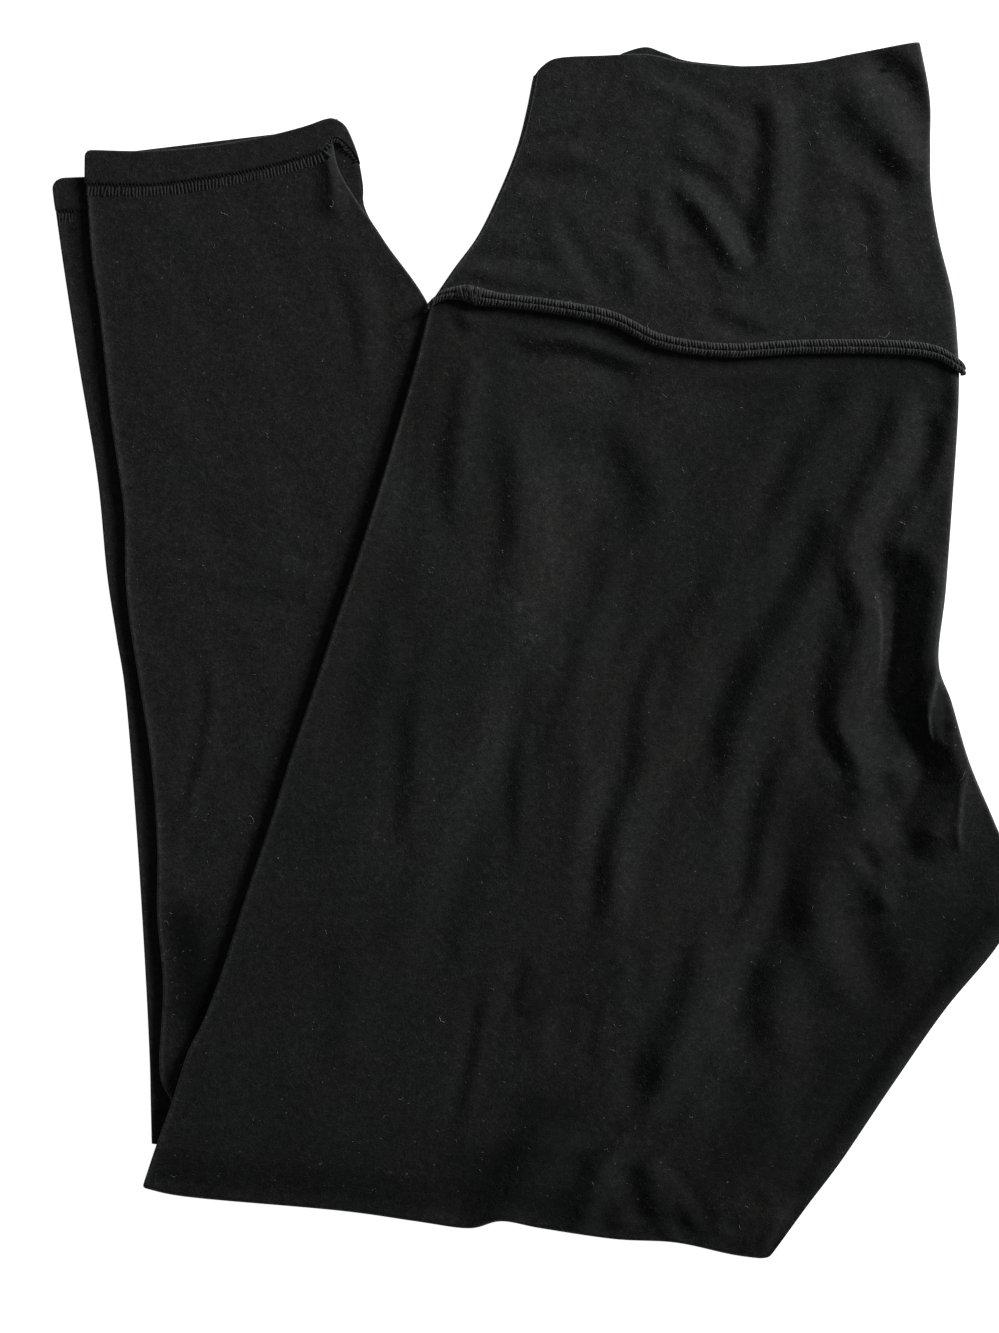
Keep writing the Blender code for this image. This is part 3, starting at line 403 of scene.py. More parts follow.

# %% Painted light and shade in patches of the nap
LEG_PAINTED_PATCHES = [Fold(RIDGE, *row) for row in (
    (26, -0.38, ((184, -98), (160, -134), (136, -170), (112, -204), (94, -236)), 0.12),
    (10, -0.50, ((197, -72), (204, -98), (192, -124)), 0.20),
    (18, -0.20, ((-160, -210), (-100, -220), (-50, -224), (0, -228), (50, -236), (94, -244)), 0.10),
    (13, -0.38, ((-48, -220), (-16, -214), (8, -196), (24, -174)), 0.30),
    (14, -0.40, ((116, -44), (112, -80), (106, -110), (92, -128)), 0.30),
    (11, -0.32, ((90, -166), (85, -202), (68, -232)), 0.30),
    (8, -0.24, ((6, -126), (-2, -158)), 0.30),
    (14, 0.46, ((-12, 128), (24, 110), (58, 106), (98, 104)), 0.28),
    (11, 0.50, ((166, 116), (161, 84), (153, 60), (141, 34)), 0.28),
    (13, 0.40, ((-58, 114), (-58, 80), (-46, 50), (-24, 26), (-12, 0), (-16, -28), (-34, -60), (-46, -92),
     (-42, -126)), 0.28),
    (13, 0.24, ((-70, -56), (-60, -98)), 0.30),
    (14, 0.36, ((30, 100), (14, 70), (2, 34), (4, -10)), 0.30),
    (13, 0.32, ((34, -34), (28, -80), (28, -124)), 0.30),
    (8, -0.42, ((161, 22), (165, -14), (167, -52)), 0.30),
)]
LOWER_PAINTED_PATCHES = [Fold(RIDGE, *row) for row in (
    (10, -0.70, ((-150, -98), (-146, -130), (-145, -168)), 0.25),
)]


# %% Heights that a table of folds gives
def line_reading(points, path, steps=20):
    """For each point: signed distance to the path, above 0 on the viewer's right of a line that runs
    down, and the share of the path's length where it comes nearest."""
    fine = even_curve(path)(np.linspace(0.0, 1.0, steps + 1))
    nearest = np.full(points.shape[:-1], 1e9)
    side = np.zeros(points.shape[:-1])
    share = np.zeros(points.shape[:-1])
    for i, (a, b) in enumerate(zip(fine, fine[1:])):
        run = b - a
        off = points - a
        t = np.clip((off @ run) / (run @ run), 0.0, 1.0)
        far = np.linalg.norm(off - t[..., None] * run, axis=-1)
        cross = run[0] * off[..., 1] - run[1] * off[..., 0]
        better = far < nearest
        nearest = np.where(better, far, nearest)
        side = np.where(better, np.sign(cross), side)
        share = np.where(better, (i + t) / steps, share)
    return nearest * side, share


def fold_height(points, fold):
    away, share = line_reading(points, fold.path)
    t = away / fold.half
    if fold.kind == RIDGE:
        height = fold.size * np.exp(-t * t)
    elif fold.kind == TURN:
        level = smooth((np.abs(t) - TURN_FULL) / (TURN_GONE - TURN_FULL))
        height = -fold.size * fold.half * (1.0 - level) * t * np.exp(-0.5 * t * t)
    else:
        back = np.where(away < 0, np.exp(away / STEP_BACK), 1.0)
        height = fold.size * back * 0.5 * (1.0 - np.tanh(t))
    return height * smooth(share / fold.fade) * smooth((1.0 - share) / fold.fade)


def folds_at(folds, points):
    return sum(fold_height(points, fold) for fold in folds)


def painted_patches(strokes, points):
    """The painted light and shade that the patches add to a sheet's nap, in the measure of its painted edge
    light.
    """
    return folds_at(strokes, points[..., :2]) / PAINTED_EDGE_LIGHT


def softened(height):
    """A grid of heights with its sharp kinks eased: each point takes a share of its neighbours."""
    padded = np.pad(height, ((1, 1), (0, 0)), mode="edge")
    height = 0.5 * height + 0.25 * (padded[:-2] + padded[2:])
    padded = np.pad(height, ((0, 0), (1, 1)), mode="edge")
    return 0.5 * height + 0.25 * (padded[:, :-2] + padded[:, 2:])


RIPPLES = 9                          # waves that cross in a ripple


def ripple(points, size, strength, seed):
    """Faint uneven waves, so that no stretch of cloth is dead flat."""
    rng = np.random.default_rng(seed)
    total = np.zeros(points.shape[:-1])
    for _ in range(RIPPLES):
        angle, phase = rng.uniform(0, pi), rng.uniform(0, 2 * pi)
        wave = size * rng.uniform(0.6, 1.7)
        run = points[..., 0] * np.cos(angle) + points[..., 1] * np.sin(angle)
        total += np.sin(run * 2 * pi / wave + phase)
    return strength * total / np.sqrt(RIPPLES)


def leg_ground(points):
    """Top of the near leg without its folds: it climbs on to the lower legs."""
    a, b = (np.array(p) for p in LEG_UNDER_EDGE)
    run = (b - a) / np.linalg.norm(b - a)
    outside = (points[..., 0] - a[0]) * run[1] - (points[..., 1] - a[1]) * run[0]
    climbed = SEAT_TOP + LEGS_UNDER * smooth(0.5 + (outside + LEG_CLIMB) / LEG_SLOPE)
    near_seam = np.exp(-((np.maximum(seam_y(points[..., 0]) - points[..., 1], 0.0) / SEAM_SLOPE) ** 2))
    return mix(climbed, BAND_TOP - SEAM_DIP, near_seam)


def above_bottom(points):
    return points[..., 1] - np.interp(points[..., 0], *np.array(BOTTOM_LINE).T)


LEG_STARTS, BAND_STARTS = 14.0, 8.0  # how far from the waist seam the folds have their full height


def leg_folds(points):
    below = seam_y(points[..., 0]) - points[..., 1]
    folds = folds_at(LEG_FOLDS, points) + ripple(points, 42.0, 0.16, 3)
    sag = BOTTOM_SAG * smooth(1.0 - above_bottom(points) / BOTTOM_EASE)
    return smooth(below / LEG_STARTS) * folds - sag


def band_folds(points):
    above = points[..., 1] - seam_y(points[..., 0])
    folds = folds_at(BAND_FOLDS, points) + ripple(points, 34.0, 0.14, 5)
    return smooth(above / BAND_STARTS) * folds


def flattened(turn, power):
    """Cosine and sine of a turn; a power below 1 makes the upper half of the round flat on top."""
    power = np.where(turn > 0.0, power, 1.0)
    cos, sin = np.cos(np.radians(turn)), np.sin(np.radians(turn))
    return np.maximum(cos, 0.0) ** power, np.sign(sin) * np.abs(sin) ** power


def turned(reach, depth, deep, turn, power=1.0):
    """(inside the outline, below the top) of a point of a folded edge, `deep` under its outer face, at a
    turn of 90 degrees where the edge begins and 0 where it is widest."""
    cos, sin = flattened(turn, power)
    return reach - (reach - deep) * cos, depth - (depth - deep) * sin


BEAD_IN, BEAD_HALF = 0.3, 2.4


def bead(inside, height):
    """A pressed fold stands up a little along its edge; its inner side then catches the light."""
    return height * np.exp(-(((inside - BEAD_IN) / BEAD_HALF) ** 2))


# %% [markdown]
# ## Turning grids into cloth
# A grid of points becomes a mesh with one face between each four of them. It also gets a UV map in
# metres of cloth, so that a knit or a print could follow the piece round its folds. The Solidify
# modifier then gives most pieces their thickness, inwards from the face that shows.

# %% Cloth from a grid
def in_metres(points):
    """Table millimetres to metres about the whole's middle."""
    moved = np.array(points, float)
    moved[..., :2] -= MIDDLE
    return moved * MM


def link(mesh, name):
    obj = bpy.data.objects.new(name, mesh)
    bpy.context.scene.collection.objects.link(obj)
    return obj


def select_only(obj):
    bpy.ops.object.select_all(action="DESELECT")
    obj.select_set(True)
    bpy.context.view_layer.objects.active = obj


def run_lengths(points, axis):
    steps = np.linalg.norm(np.diff(points, axis=axis), axis=-1)
    run = np.cumsum(steps, axis=axis)
    start = np.zeros_like(np.take(run, [0], axis=axis))
    return np.concatenate([start, run], axis=axis)


def quads_of(index):
    """Four corners to each face between the numbers of a grid's points."""
    corners = (index[:-1, :-1], index[1:, :-1], index[1:, 1:], index[:-1, 1:])
    return np.stack(corners, axis=-1).reshape(-1, 4)


def grid_normals(points):
    across = np.cross(np.gradient(points, axis=0), np.gradient(points, axis=1))
    return across / np.maximum(np.linalg.norm(across, axis=-1), 1e-9)[..., None]


RIM_WIDTH = 2.6


def rim_of(points, *edges):
    """A mask for painted light along edges: from 0 to 1 as points come near an edge line in plan."""
    away = [line_reading(points[..., :2], edge, 40)[0] for edge in edges]
    return np.maximum.reduce([smooth(1.0 - np.abs(a) / RIM_WIDTH) for a in away])


def cloth(name, points, thickness=None, plain=None, rim=None):
    """A sheet through a (rows, columns, 3) grid of millimetres, seen from above; returns its object.
    `plain` is the same grid without its folds, and `rim` holds the painted light: lighter along edges, and
    lighter or darker in patches."""
    rows, cols = points.shape[:2]
    quads = quads_of(np.arange(rows * cols).reshape(rows, cols))
    mesh = bpy.data.meshes.new(name)
    mesh.from_pydata(in_metres(points).reshape(-1, 3), [], quads)
    uv = np.stack([run_lengths(points, 1), run_lengths(points, 0)], axis=-1).reshape(-1, 2) * MM
    layer = mesh.uv_layers.new(name="cloth")
    layer.data.foreach_set("uv", uv[quads.reshape(-1)].reshape(-1))
    if plain is not None:
        ground = mesh.attributes.new("ground", "FLOAT_VECTOR", "POINT")
        ground.data.foreach_set("vector", grid_normals(plain).reshape(-1))
    if rim is not None:
        edge = mesh.attributes.new("rim", "FLOAT", "POINT")
        edge.data.foreach_set("value", np.broadcast_to(rim, points.shape[:2]).reshape(-1))
    obj = link(mesh, name)
    select_only(obj)
    bpy.ops.object.shade_smooth()
    if thickness:
        wall = obj.modifiers.new("wall", "SOLIDIFY")
        wall.thickness = thickness * MM
        wall.offset = -1.0
        bpy.ops.object.modifier_apply(modifier=wall.name)
    return obj


def report(obj):
    obj.data.calc_loop_triangles()
    print(obj.name, len(obj.data.loop_triangles), "triangles")


def flat_area(points):
    """Area of a grid of points, in square metres."""
    a = points[1:, :-1] - points[:-1, :-1]
    b = points[:-1, 1:] - points[:-1, :-1]
    c = points[1:, 1:] - points[1:, :-1]
    d = points[1:, 1:] - points[:-1, 1:]
    first = np.linalg.norm(np.cross(a, b), axis=-1)
    second = np.linalg.norm(np.cross(c, d), axis=-1)
    return float((first + second).sum() / 2) * MM * MM


def declare(obj, points):
    """States the cut of a ply that lies folded: its width and length, and its area."""
    area = flat_area(points)
    width = float(run_lengths(points, 1)[:, -1].max()) * MM
    length = float(run_lengths(points, 0)[-1].max()) * MM
    area = min(area, width * length)
    print(f"{obj.name}: cut {width * 1000:.0f} x {length * 1000:.0f} mm, {area:.4f} square metres")


def dress(obj, material):
    obj.data.materials.clear()
    obj.data.materials.append(material)


def finish_piece(obj, material, slot, *nodes):
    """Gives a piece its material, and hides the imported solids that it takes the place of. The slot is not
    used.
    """
    dress(obj, material)
    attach(obj, "root")
    if nodes:
        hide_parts(*nodes)
    report(obj)


# %% [markdown]
# ## The camera, the table and the light
# The garment lies on a pale table and is seen from straight above, through a long lens, so that its
# edges aren't stretched. The main light is a large soft one from beyond the waistband, low enough to rake
# over the folds: black cloth shows its shape only by the little light that its slopes catch.

# %% Camera, table and lights
PIXELS_ACROSS, PIXEL = 999, 0.42     # of the frame, and millimetres of the table to each of them
VIEW_WIDTH = PIXELS_ACROSS * PIXEL
LENS, SENSOR = 150.0, 36.0
EYE_OVER = 8.0                       # the height that the scale is true for
VIEW_AT = (-15.69, -6.96)


def make_camera():
    data = bpy.data.cameras.new("camera")
    data.lens, data.sensor_width, data.sensor_fit = LENS, SENSOR, "HORIZONTAL"
    data.clip_start, data.clip_end = 0.05, 20.0
    eye = bpy.data.objects.new("camera", data)
    eye.location = (VIEW_AT[0] * MM, VIEW_AT[1] * MM, (VIEW_WIDTH * LENS / SENSOR + EYE_OVER) * MM)
    bpy.context.scene.collection.objects.link(eye)
    bpy.context.scene.camera = eye


def make_table():
    bpy.ops.object.select_all(action="DESELECT")
    bpy.ops.mesh.primitive_plane_add(size=6.0, location=(0.0, 0.0, -0.0004))
    table = bpy.context.object
    table.name = "table"
    bpy.ops.object.transform_apply(location=True)
    made = bpy.data.materials.new("pale_table")
    made.use_nodes = True
    shader = made.node_tree.nodes["Principled BSDF"]
    shader.inputs["Base Color"].default_value = (0.30, 0.30, 0.30, 1.0)
    shader.inputs["Roughness"].default_value = 0.9
    shader.inputs["Specular IOR Level"].default_value = 0.0
    shader.inputs["Emission Color"].default_value = (1.0, 1.0, 1.0, 1.0)
    shader.inputs["Emission Strength"].default_value = 0.95
    table.data.materials.append(made)


def add_light(name, size, energy, at):
    """A round area light that faces the middle of the table."""
    data = bpy.data.lights.new(name, "AREA")
    data.shape, data.size, data.energy = "DISK", size, energy
    lamp = bpy.data.objects.new(name, data)
    lamp.location = at
    lamp.rotation_euler = (-Vector(at)).to_track_quat("-Z", "Y").to_euler()
    bpy.context.scene.collection.objects.link(lamp)


def make_world(strength):
    world = bpy.data.worlds.new("studio")
    bpy.context.scene.world = world
    world.use_nodes = True
    world.node_tree.nodes["Background"].inputs["Color"].default_value = (1.0, 1.0, 1.0, 1.0)
    world.node_tree.nodes["Background"].inputs["Strength"].default_value = strength


make_camera()
make_table()
add_light("window", size=1.1, energy=175.0, at=(1.79, 1.40, 1.26))
make_world(strength=0.30)
bpy.context.scene.view_settings.view_transform = "Standard"

# %% [markdown]
# ## Brushed jersey
# The cloth is black, but never evenly so. Brushing lifts a nap of short curled fibres, which catch light
# as tiny lighter flecks, and the dye leans a little to green in some places and to brown in others. One
# node group works this out from the place on the piece: a colour, a roughness and a normal. Each
# material uses it with its own base colours, and keeps its own shader with the soft sheen of the nap.

# %% Nodes for the nap
def add_node(tree, kind, **inputs):
    node = tree.nodes.new(kind)
    for key, value in inputs.items():
        node.inputs[key.replace("_", " ")].default_value = value
    return node


def feed(tree, sockets, values):
    """Gives each socket its value: a link from another node's output, or a constant."""
    for socket, value in zip(sockets, values):
        if hasattr(value, "is_output"):
            tree.links.new(value, socket)
        else:
            socket.default_value = value


def scalar(tree, operation, a, b):
    """A Math node; a and b are numbers or sockets."""
    node = tree.nodes.new("ShaderNodeMath")
    node.operation = operation
    feed(tree, node.inputs, (a, b))
    return node.outputs[0]


def noise(tree, place, scale, detail=2.0, rough=0.5, colour=False):
    node = add_node(tree, "ShaderNodeTexNoise", Scale=scale, Detail=detail, Roughness=rough)
    tree.links.new(place, node.inputs["Vector"])
    return node.outputs["Color" if colour else "Fac"]


def spread(tree, value, low, high, to_low=0.0, to_high=1.0):
    """A Map Range node, clamped."""
    node = add_node(tree, "ShaderNodeMapRange", From_Min=low, From_Max=high, To_Min=to_low, To_Max=to_high)
    tree.links.new(value, node.inputs["Value"])
    return node.outputs["Result"]


def colour_socket(node, name):
    return [s for s in node.inputs if s.name == name and s.type == "RGBA"][0]


def mixed(tree, share, a, b):
    """A Mix node for colours; each argument is a value or a socket."""
    node = tree.nodes.new("ShaderNodeMix")
    node.data_type = "RGBA"
    sockets = (node.inputs[0], colour_socket(node, "A"), colour_socket(node, "B"))
    feed(tree, sockets, (share, a, b))
    return [s for s in node.outputs if s.type == "RGBA"][0]


def scaled_colour(tree, colour, factor):
    """A colour made lighter or darker; both arguments are sockets."""
    node = tree.nodes.new("ShaderNodeVectorMath")
    node.operation = "SCALE"
    tree.links.new(colour, node.inputs[0])
    tree.links.new(factor, node.inputs["Scale"])
    return node.outputs[0]


NAP_LEAN = 2.8                       # the nap leans off a slope, so it shades as a steeper one
PAINTED_RIM_SHEEN = 2.6                       # painted sheen: how much lighter the nap's colour is where it is seen from the side
PAINTED_EDGE_LIGHT = 1.6                  # and painted light along the folded edges
CURL = 0.0022                        # metres that a fibre wanders


def attribute(tree, name):
    node = tree.nodes.new("ShaderNodeAttribute")
    node.attribute_name = name
    return node.outputs


def vectors(tree, operation, *given):
    """A Vector Math node; each argument is a vector or a socket."""
    node = tree.nodes.new("ShaderNodeVectorMath")
    node.operation = operation
    feed(tree, node.inputs, given)
    return node.outputs


def leaning_normal(tree):
    """The cloth's normal, tipped further over on the gentle slopes of its folds. The slope of the ground
    that the folds lie on counts once only, and steep places stay as they are."""
    faced = tree.nodes.new("ShaderNodeNewGeometry").outputs["Normal"]
    parts = tree.nodes.new("ShaderNodeSeparateXYZ")
    tree.links.new(faced, parts.inputs[0])
    more = spread(tree, parts.outputs["Z"], 0.80, 0.97, 0.0, NAP_LEAN - 1.0)
    both = tree.nodes.new("ShaderNodeCombineXYZ")
    for axis in "XY":
        tree.links.new(more, both.inputs[axis])
    own = vectors(tree, "SUBTRACT", faced, attribute(tree, "ground")["Vector"])[0]
    leaned = vectors(tree, "MULTIPLY_ADD", own, both.outputs[0], faced)[0]
    return vectors(tree, "NORMALIZE", leaned)[0]


def nap_group():
    """Colour, roughness and normal of the nap at a place on the piece."""
    tree = bpy.data.node_groups.new("brushed_nap", "ShaderNodeTree")
    face = tree.interface
    face.new_socket("Place", in_out="INPUT", socket_type="NodeSocketVector")
    for name in ("Cool", "Warm", "Lint"):
        face.new_socket(name, in_out="INPUT", socket_type="NodeSocketColor")
    for name in ("Fleck", "Bump", "Rim"):
        face.new_socket(name, in_out="INPUT", socket_type="NodeSocketFloat")
    face.new_socket("Colour", in_out="OUTPUT", socket_type="NodeSocketColor")
    face.new_socket("Roughness", in_out="OUTPUT", socket_type="NodeSocketFloat")
    face.new_socket("Normal", in_out="OUTPUT", socket_type="NodeSocketVector")
    given = tree.nodes.new("NodeGroupInput").outputs
    place = given["Place"]

    # broad patches of dye, then uneven nap, coarse and fine
    patches = spread(tree, noise(tree, place, 24.0, 3.0, 0.6), 0.38, 0.62)
    base = mixed(tree, patches, given["Cool"], given["Warm"])
    mottle = spread(tree, noise(tree, place, 330.0, 4.0, 0.65), 0.3, 0.7, 0.66, 1.34)
    nap = spread(tree, noise(tree, place, 1500.0, 2.0, 0.6), 0.3, 0.7, 0.55, 1.45)
    strength = scalar(tree, "MULTIPLY", mottle, nap)

    # curled fibres: pieces of the lines between cells that a noise bends out of shape
    curl = noise(tree, place, 520.0, 2.0, colour=True)
    bent = vectors(tree, "MULTIPLY_ADD", curl, (CURL, CURL, CURL), place)[0]
    cells = add_node(tree, "ShaderNodeTexVoronoi", Scale=430.0)
    cells.feature = "DISTANCE_TO_EDGE"
    tree.links.new(bent, cells.inputs["Vector"])
    lines = spread(tree, cells.outputs["Distance"], 0.0, 0.11, 1.0, 0.0)
    pieces = spread(tree, noise(tree, place, 360.0, 1.0), 0.54, 0.62)
    fibres = scalar(tree, "MULTIPLY", lines, pieces)

    # specks of lint, in a few of the cells
    dots = add_node(tree, "ShaderNodeTexVoronoi", Scale=210.0)
    tree.links.new(place, dots.inputs["Vector"])
    split = tree.nodes.new("ShaderNodeSeparateColor")
    tree.links.new(dots.outputs["Color"], split.inputs[0])
    few = scalar(tree, "GREATER_THAN", split.outputs[0], 0.86)
    specks = scalar(tree, "MULTIPLY", spread(tree, dots.outputs["Distance"], 0.05, 0.09, 1.0, 0.0), few)

    # all of it as a colour, with painted light along the edges, painted light and shade in patches, and
    # painted sheen where the cloth is seen from the side
    lit = scalar(tree, "MULTIPLY", fibres, given["Fleck"])
    shaded = scaled_colour(tree, base, scalar(tree, "ADD", strength, lit))
    coloured = mixed(tree, scalar(tree, "MULTIPLY", specks, 0.8), shaded, given["Lint"])
    rim = scalar(tree, "MULTIPLY", attribute(tree, "rim")["Fac"], PAINTED_EDGE_LIGHT)
    rim = scalar(tree, "ADD", rim, spread(tree, given["Rim"], 0.16, 0.76, 1.0, 1.0 + PAINTED_RIM_SHEEN))
    out = tree.nodes.new("NodeGroupOutput")
    tree.links.new(scaled_colour(tree, coloured, rim), out.inputs["Colour"])
    tree.links.new(spread(tree, strength, 0.5, 1.6, 0.80, 0.98), out.inputs["Roughness"])

    # and as a height that bumps the leaning normal
    low, high = scalar(tree, "MULTIPLY", strength, 0.5), scalar(tree, "MULTIPLY", fibres, 0.6)
    height = scalar(tree, "ADD", low, high)
    raised = add_node(tree, "ShaderNodeBump", Distance=0.0004)
    tree.links.new(leaning_normal(tree), raised.inputs["Normal"])
    tree.links.new(given["Bump"], raised.inputs["Strength"])
    tree.links.new(height, raised.inputs["Height"])
    tree.links.new(raised.outputs["Normal"], out.inputs["Normal"])
    return tree


NAP = nap_group()


LINT_SPECKS = (0.05, 0.052, 0.05, 1.0)
NAP_BUMP = 0.6


def nap_material(name, cool, warm, sheen=0.35, fleck=0.75):
    made = bpy.data.materials.new(name)
    made.use_nodes = True
    tree = made.node_tree
    shader = tree.nodes["Principled BSDF"]
    place = tree.nodes.new("ShaderNodeTexCoord")
    nap = tree.nodes.new("ShaderNodeGroup")
    nap.node_tree = NAP
    tree.links.new(place.outputs["Object"], nap.inputs["Place"])
    nap.inputs["Cool"].default_value = (*cool, 1.0)
    nap.inputs["Warm"].default_value = (*warm, 1.0)
    nap.inputs["Lint"].default_value = LINT_SPECKS
    nap.inputs["Fleck"].default_value = fleck
    nap.inputs["Bump"].default_value = NAP_BUMP
    # the surface's facing drives the painted sheen at the rims
    rim = add_node(tree, "ShaderNodeLayerWeight", Blend=0.5)
    tree.links.new(rim.outputs["Facing"], nap.inputs["Rim"])
    tree.links.new(nap.outputs["Colour"], shader.inputs["Base Color"])
    tree.links.new(nap.outputs["Roughness"], shader.inputs["Roughness"])
    tree.links.new(nap.outputs["Normal"], shader.inputs["Normal"])
    shader.inputs["Specular IOR Level"].default_value = 0.02
    shader.inputs["Sheen Weight"].default_value = sheen
    shader.inputs["Sheen Roughness"].default_value = 0.55
    shader.inputs["Sheen Tint"].default_value = (0.030, 0.036, 0.036, 1.0)
    return made


JERSEY = nap_material("brushed_jersey", (0.0056, 0.0061, 0.0060), (0.0061, 0.0059, 0.0058))
# the waistband and the lower legs take lighter copies of the same jersey: painted light
LIT_BAND_JERSEY = nap_material("waistband_jersey", (0.0076, 0.0080, 0.0080), (0.0080, 0.0079, 0.0078))
LIT_LOWER_JERSEY = nap_material("lower_jersey", (0.0070, 0.0072, 0.0071), (0.0074, 0.0072, 0.0071))
# the hidden layers take a darker copy of the jersey: painted shade in the gaps where they show
SHADED_INNER = nap_material("folded_layers", (0.0030, 0.0031, 0.0031), (0.0031, 0.0031, 0.0030), sheen=0.1)
# copies of one thread: lighter on the stitches that stand up, as a painted highlight, darker on the roll
# beneath them and darkest on the needle threads in the hem's groove, as painted shade
LIT_THREAD = nap_material("seam_thread", (0.0120, 0.0123, 0.0122), (0.0120, 0.0120, 0.0119),
                      sheen=0.3, fleck=0.4)
SHADED_ROLL_THREAD = nap_material("under_thread", (0.0068, 0.0070, 0.0070), (0.0068, 0.0068, 0.0067), sheen=0.2)
LIT_LOOPER = nap_material("lit_looper_thread", (0.0080, 0.0082, 0.0081), (0.0080, 0.0080, 0.0079),
                      sheen=0.3, fleck=0.4)
SHADED_NEEDLE = nap_material("shaded_needle_thread", (0.0040, 0.0041, 0.0041), (0.0040, 0.0040, 0.0040),
                      sheen=0.2, fleck=0.2)
LINT = nap_material("lint", (0.065, 0.067, 0.065), (0.070, 0.068, 0.066), sheen=0.2, fleck=0.3)

# %% [markdown]
# ## Folded edges
# A fold in soft cloth is a round and never a crease. Each side of a piece is therefore a half turn of the
# cloth's own wall. A column of the grid lies on the left round, on the flat, or on the right round.

# %% Columns of a grid, and where they lie across a piece
Columns = namedtuple("Columns", "side turn share")


def columns(shares, left, right=()):
    """The turns of a left folded edge, the shares of the flat, and the turns of a right folded edge."""
    side = [-1] * len(left) + [0] * len(shares) + [1] * len(right)
    turn = [*left, *([90.0] * len(shares)), *right]
    share = [0.0] * len(left) + [*shares] + [1.0] * len(right)
    return Columns(*(np.array(a, float)[None, :] for a in (side, turn, share)))


def folded(width, cols, left, right, deep=0.0):
    """(millimetres from the left edge, millimetres below the top) of each column."""
    in_left, drop_left = turned(*left, deep, cols.turn, PRESSED)
    in_right, drop_right = turned(*right, deep, cols.turn)
    flat = left[0] + cols.share * (width - left[0] - right[0])
    at = np.select([cols.side < 0, cols.side > 0], [in_left, width - in_right], flat)
    return at, np.select([cols.side < 0, cols.side > 0], [drop_left, drop_right], deep)


def stack(x_y, z):
    z = np.broadcast_to(z, x_y.shape[:-1])
    return np.concatenate([x_y, z[..., None]], axis=-1)


def column_of(*parts):
    """Numbers joined end to end, as the rows of a grid."""
    return np.concatenate([np.atleast_1d(np.asarray(p, float)) for p in parts])[:, None]


LEFT_TURNS = np.linspace(-90.0, 78.0, 13)
RIGHT_TURNS = LEFT_TURNS[::-1]

# %% [markdown]
# ## The near leg
# The largest piece is a wide panel that starts under the waist seam and rounds the side fold, the centre
# fold and the fold across the bottom. All of it is one grid. Columns stand closer at the right, where
# the small folds of the seat and the crotch run, so that their points aren't spent on smooth cloth.

# %% The near leg
SIDE_BEAD, BOTTOM_BEAD = 0.30, 0.50
LEG_ROWS, CROWDED = 300, 0.80        # rows of the flat, and the share from where its columns crowd


BAND_EASED = 0.06                    # the share of the leg over which it leaves the waistband's rounds
CROTCH_EASED = 0.07                  # and the share on each side of the crotch where the rounds change
TIGHT_FROM, TIGHT_TO = 0.34, 0.60    # the stretch of the centre fold that is pulled tight


def centre_fold(v):
    """(reach, depth, lowest turn) of the right edge: the whole stack's round as far as the crotch, then
    the round of this leg's own inseam."""
    below = smooth((v - CROTCH_SHARE + CROTCH_EASED) / (2 * CROTCH_EASED))
    reach = mix(BAND_CENTRE_REACH, CENTRE_REACH, smooth(v / BAND_EASED))
    reach = mix(reach, INSEAM_REACH, below)
    tight = smooth((v - TIGHT_FROM) / 0.05) * smooth((TIGHT_TO - v) / 0.05)
    half = leg_ground(upper_leg.point(1.0, v)) / 2
    return reach * (1.0 - 0.5 * tight), mix(half, INSEAM_DEPTH, below), mix(-90.0, -70.0, below)


def side_fold(v):
    reach = mix(BAND_SIDE_REACH, SIDE_REACH, smooth(v / BAND_EASED))
    return reach, mix(BAND_SIDE_DEPTH, SIDE_DEPTH, smooth(v / (BAND_EASED / 2)))


def leg_along(u, share, inside):
    start = SEAM_EASE / upper_leg.along(u, 0.0)
    end = 1.0 - inside / upper_leg.along(u, 1.0)
    return mix(start, end, share)


def near_leg_grid(cols, v, roll):
    """The near leg's outer face, with its folds and without. `roll` is 90 on the flat and runs to -90
    round the bottom fold."""
    reach, depth, lowest = centre_fold(v)
    turn = np.where(cols.side > 0, 90.0 - (90.0 - cols.turn) / 180.0 * (90.0 - lowest), cols.turn)
    width = upper_leg.width(v)
    at, drop = folded(width, Columns(cols.side, turn, cols.share), side_fold(v), (reach, depth))
    u = at / width
    away, rise = flattened(roll, PRESSED)
    inside = BOTTOM_REACH - (BOTTOM_REACH - drop) * away
    x_y = upper_leg.point(u, leg_along(u, v, inside))
    ground = np.where(cols.side > 0, leg_ground(upper_leg.point(1.0, v)), leg_ground(x_y))
    ground = np.where(roll < 90.0, leg_ground(upper_leg.point(u, 1.0)), ground)
    shown = np.maximum(np.sin(np.radians(turn)), 0.0) * np.maximum(rise, 0.0)
    beads = bead(at, SIDE_BEAD) + bead(above_bottom(x_y), BOTTOM_BEAD)
    folds = softened(shown * (leg_folds(x_y) + beads))
    return (stack(x_y, ground / 2 + (ground / 2 + folds - drop) * rise),
            stack(x_y, ground / 2 + (ground / 2 - drop) * rise))


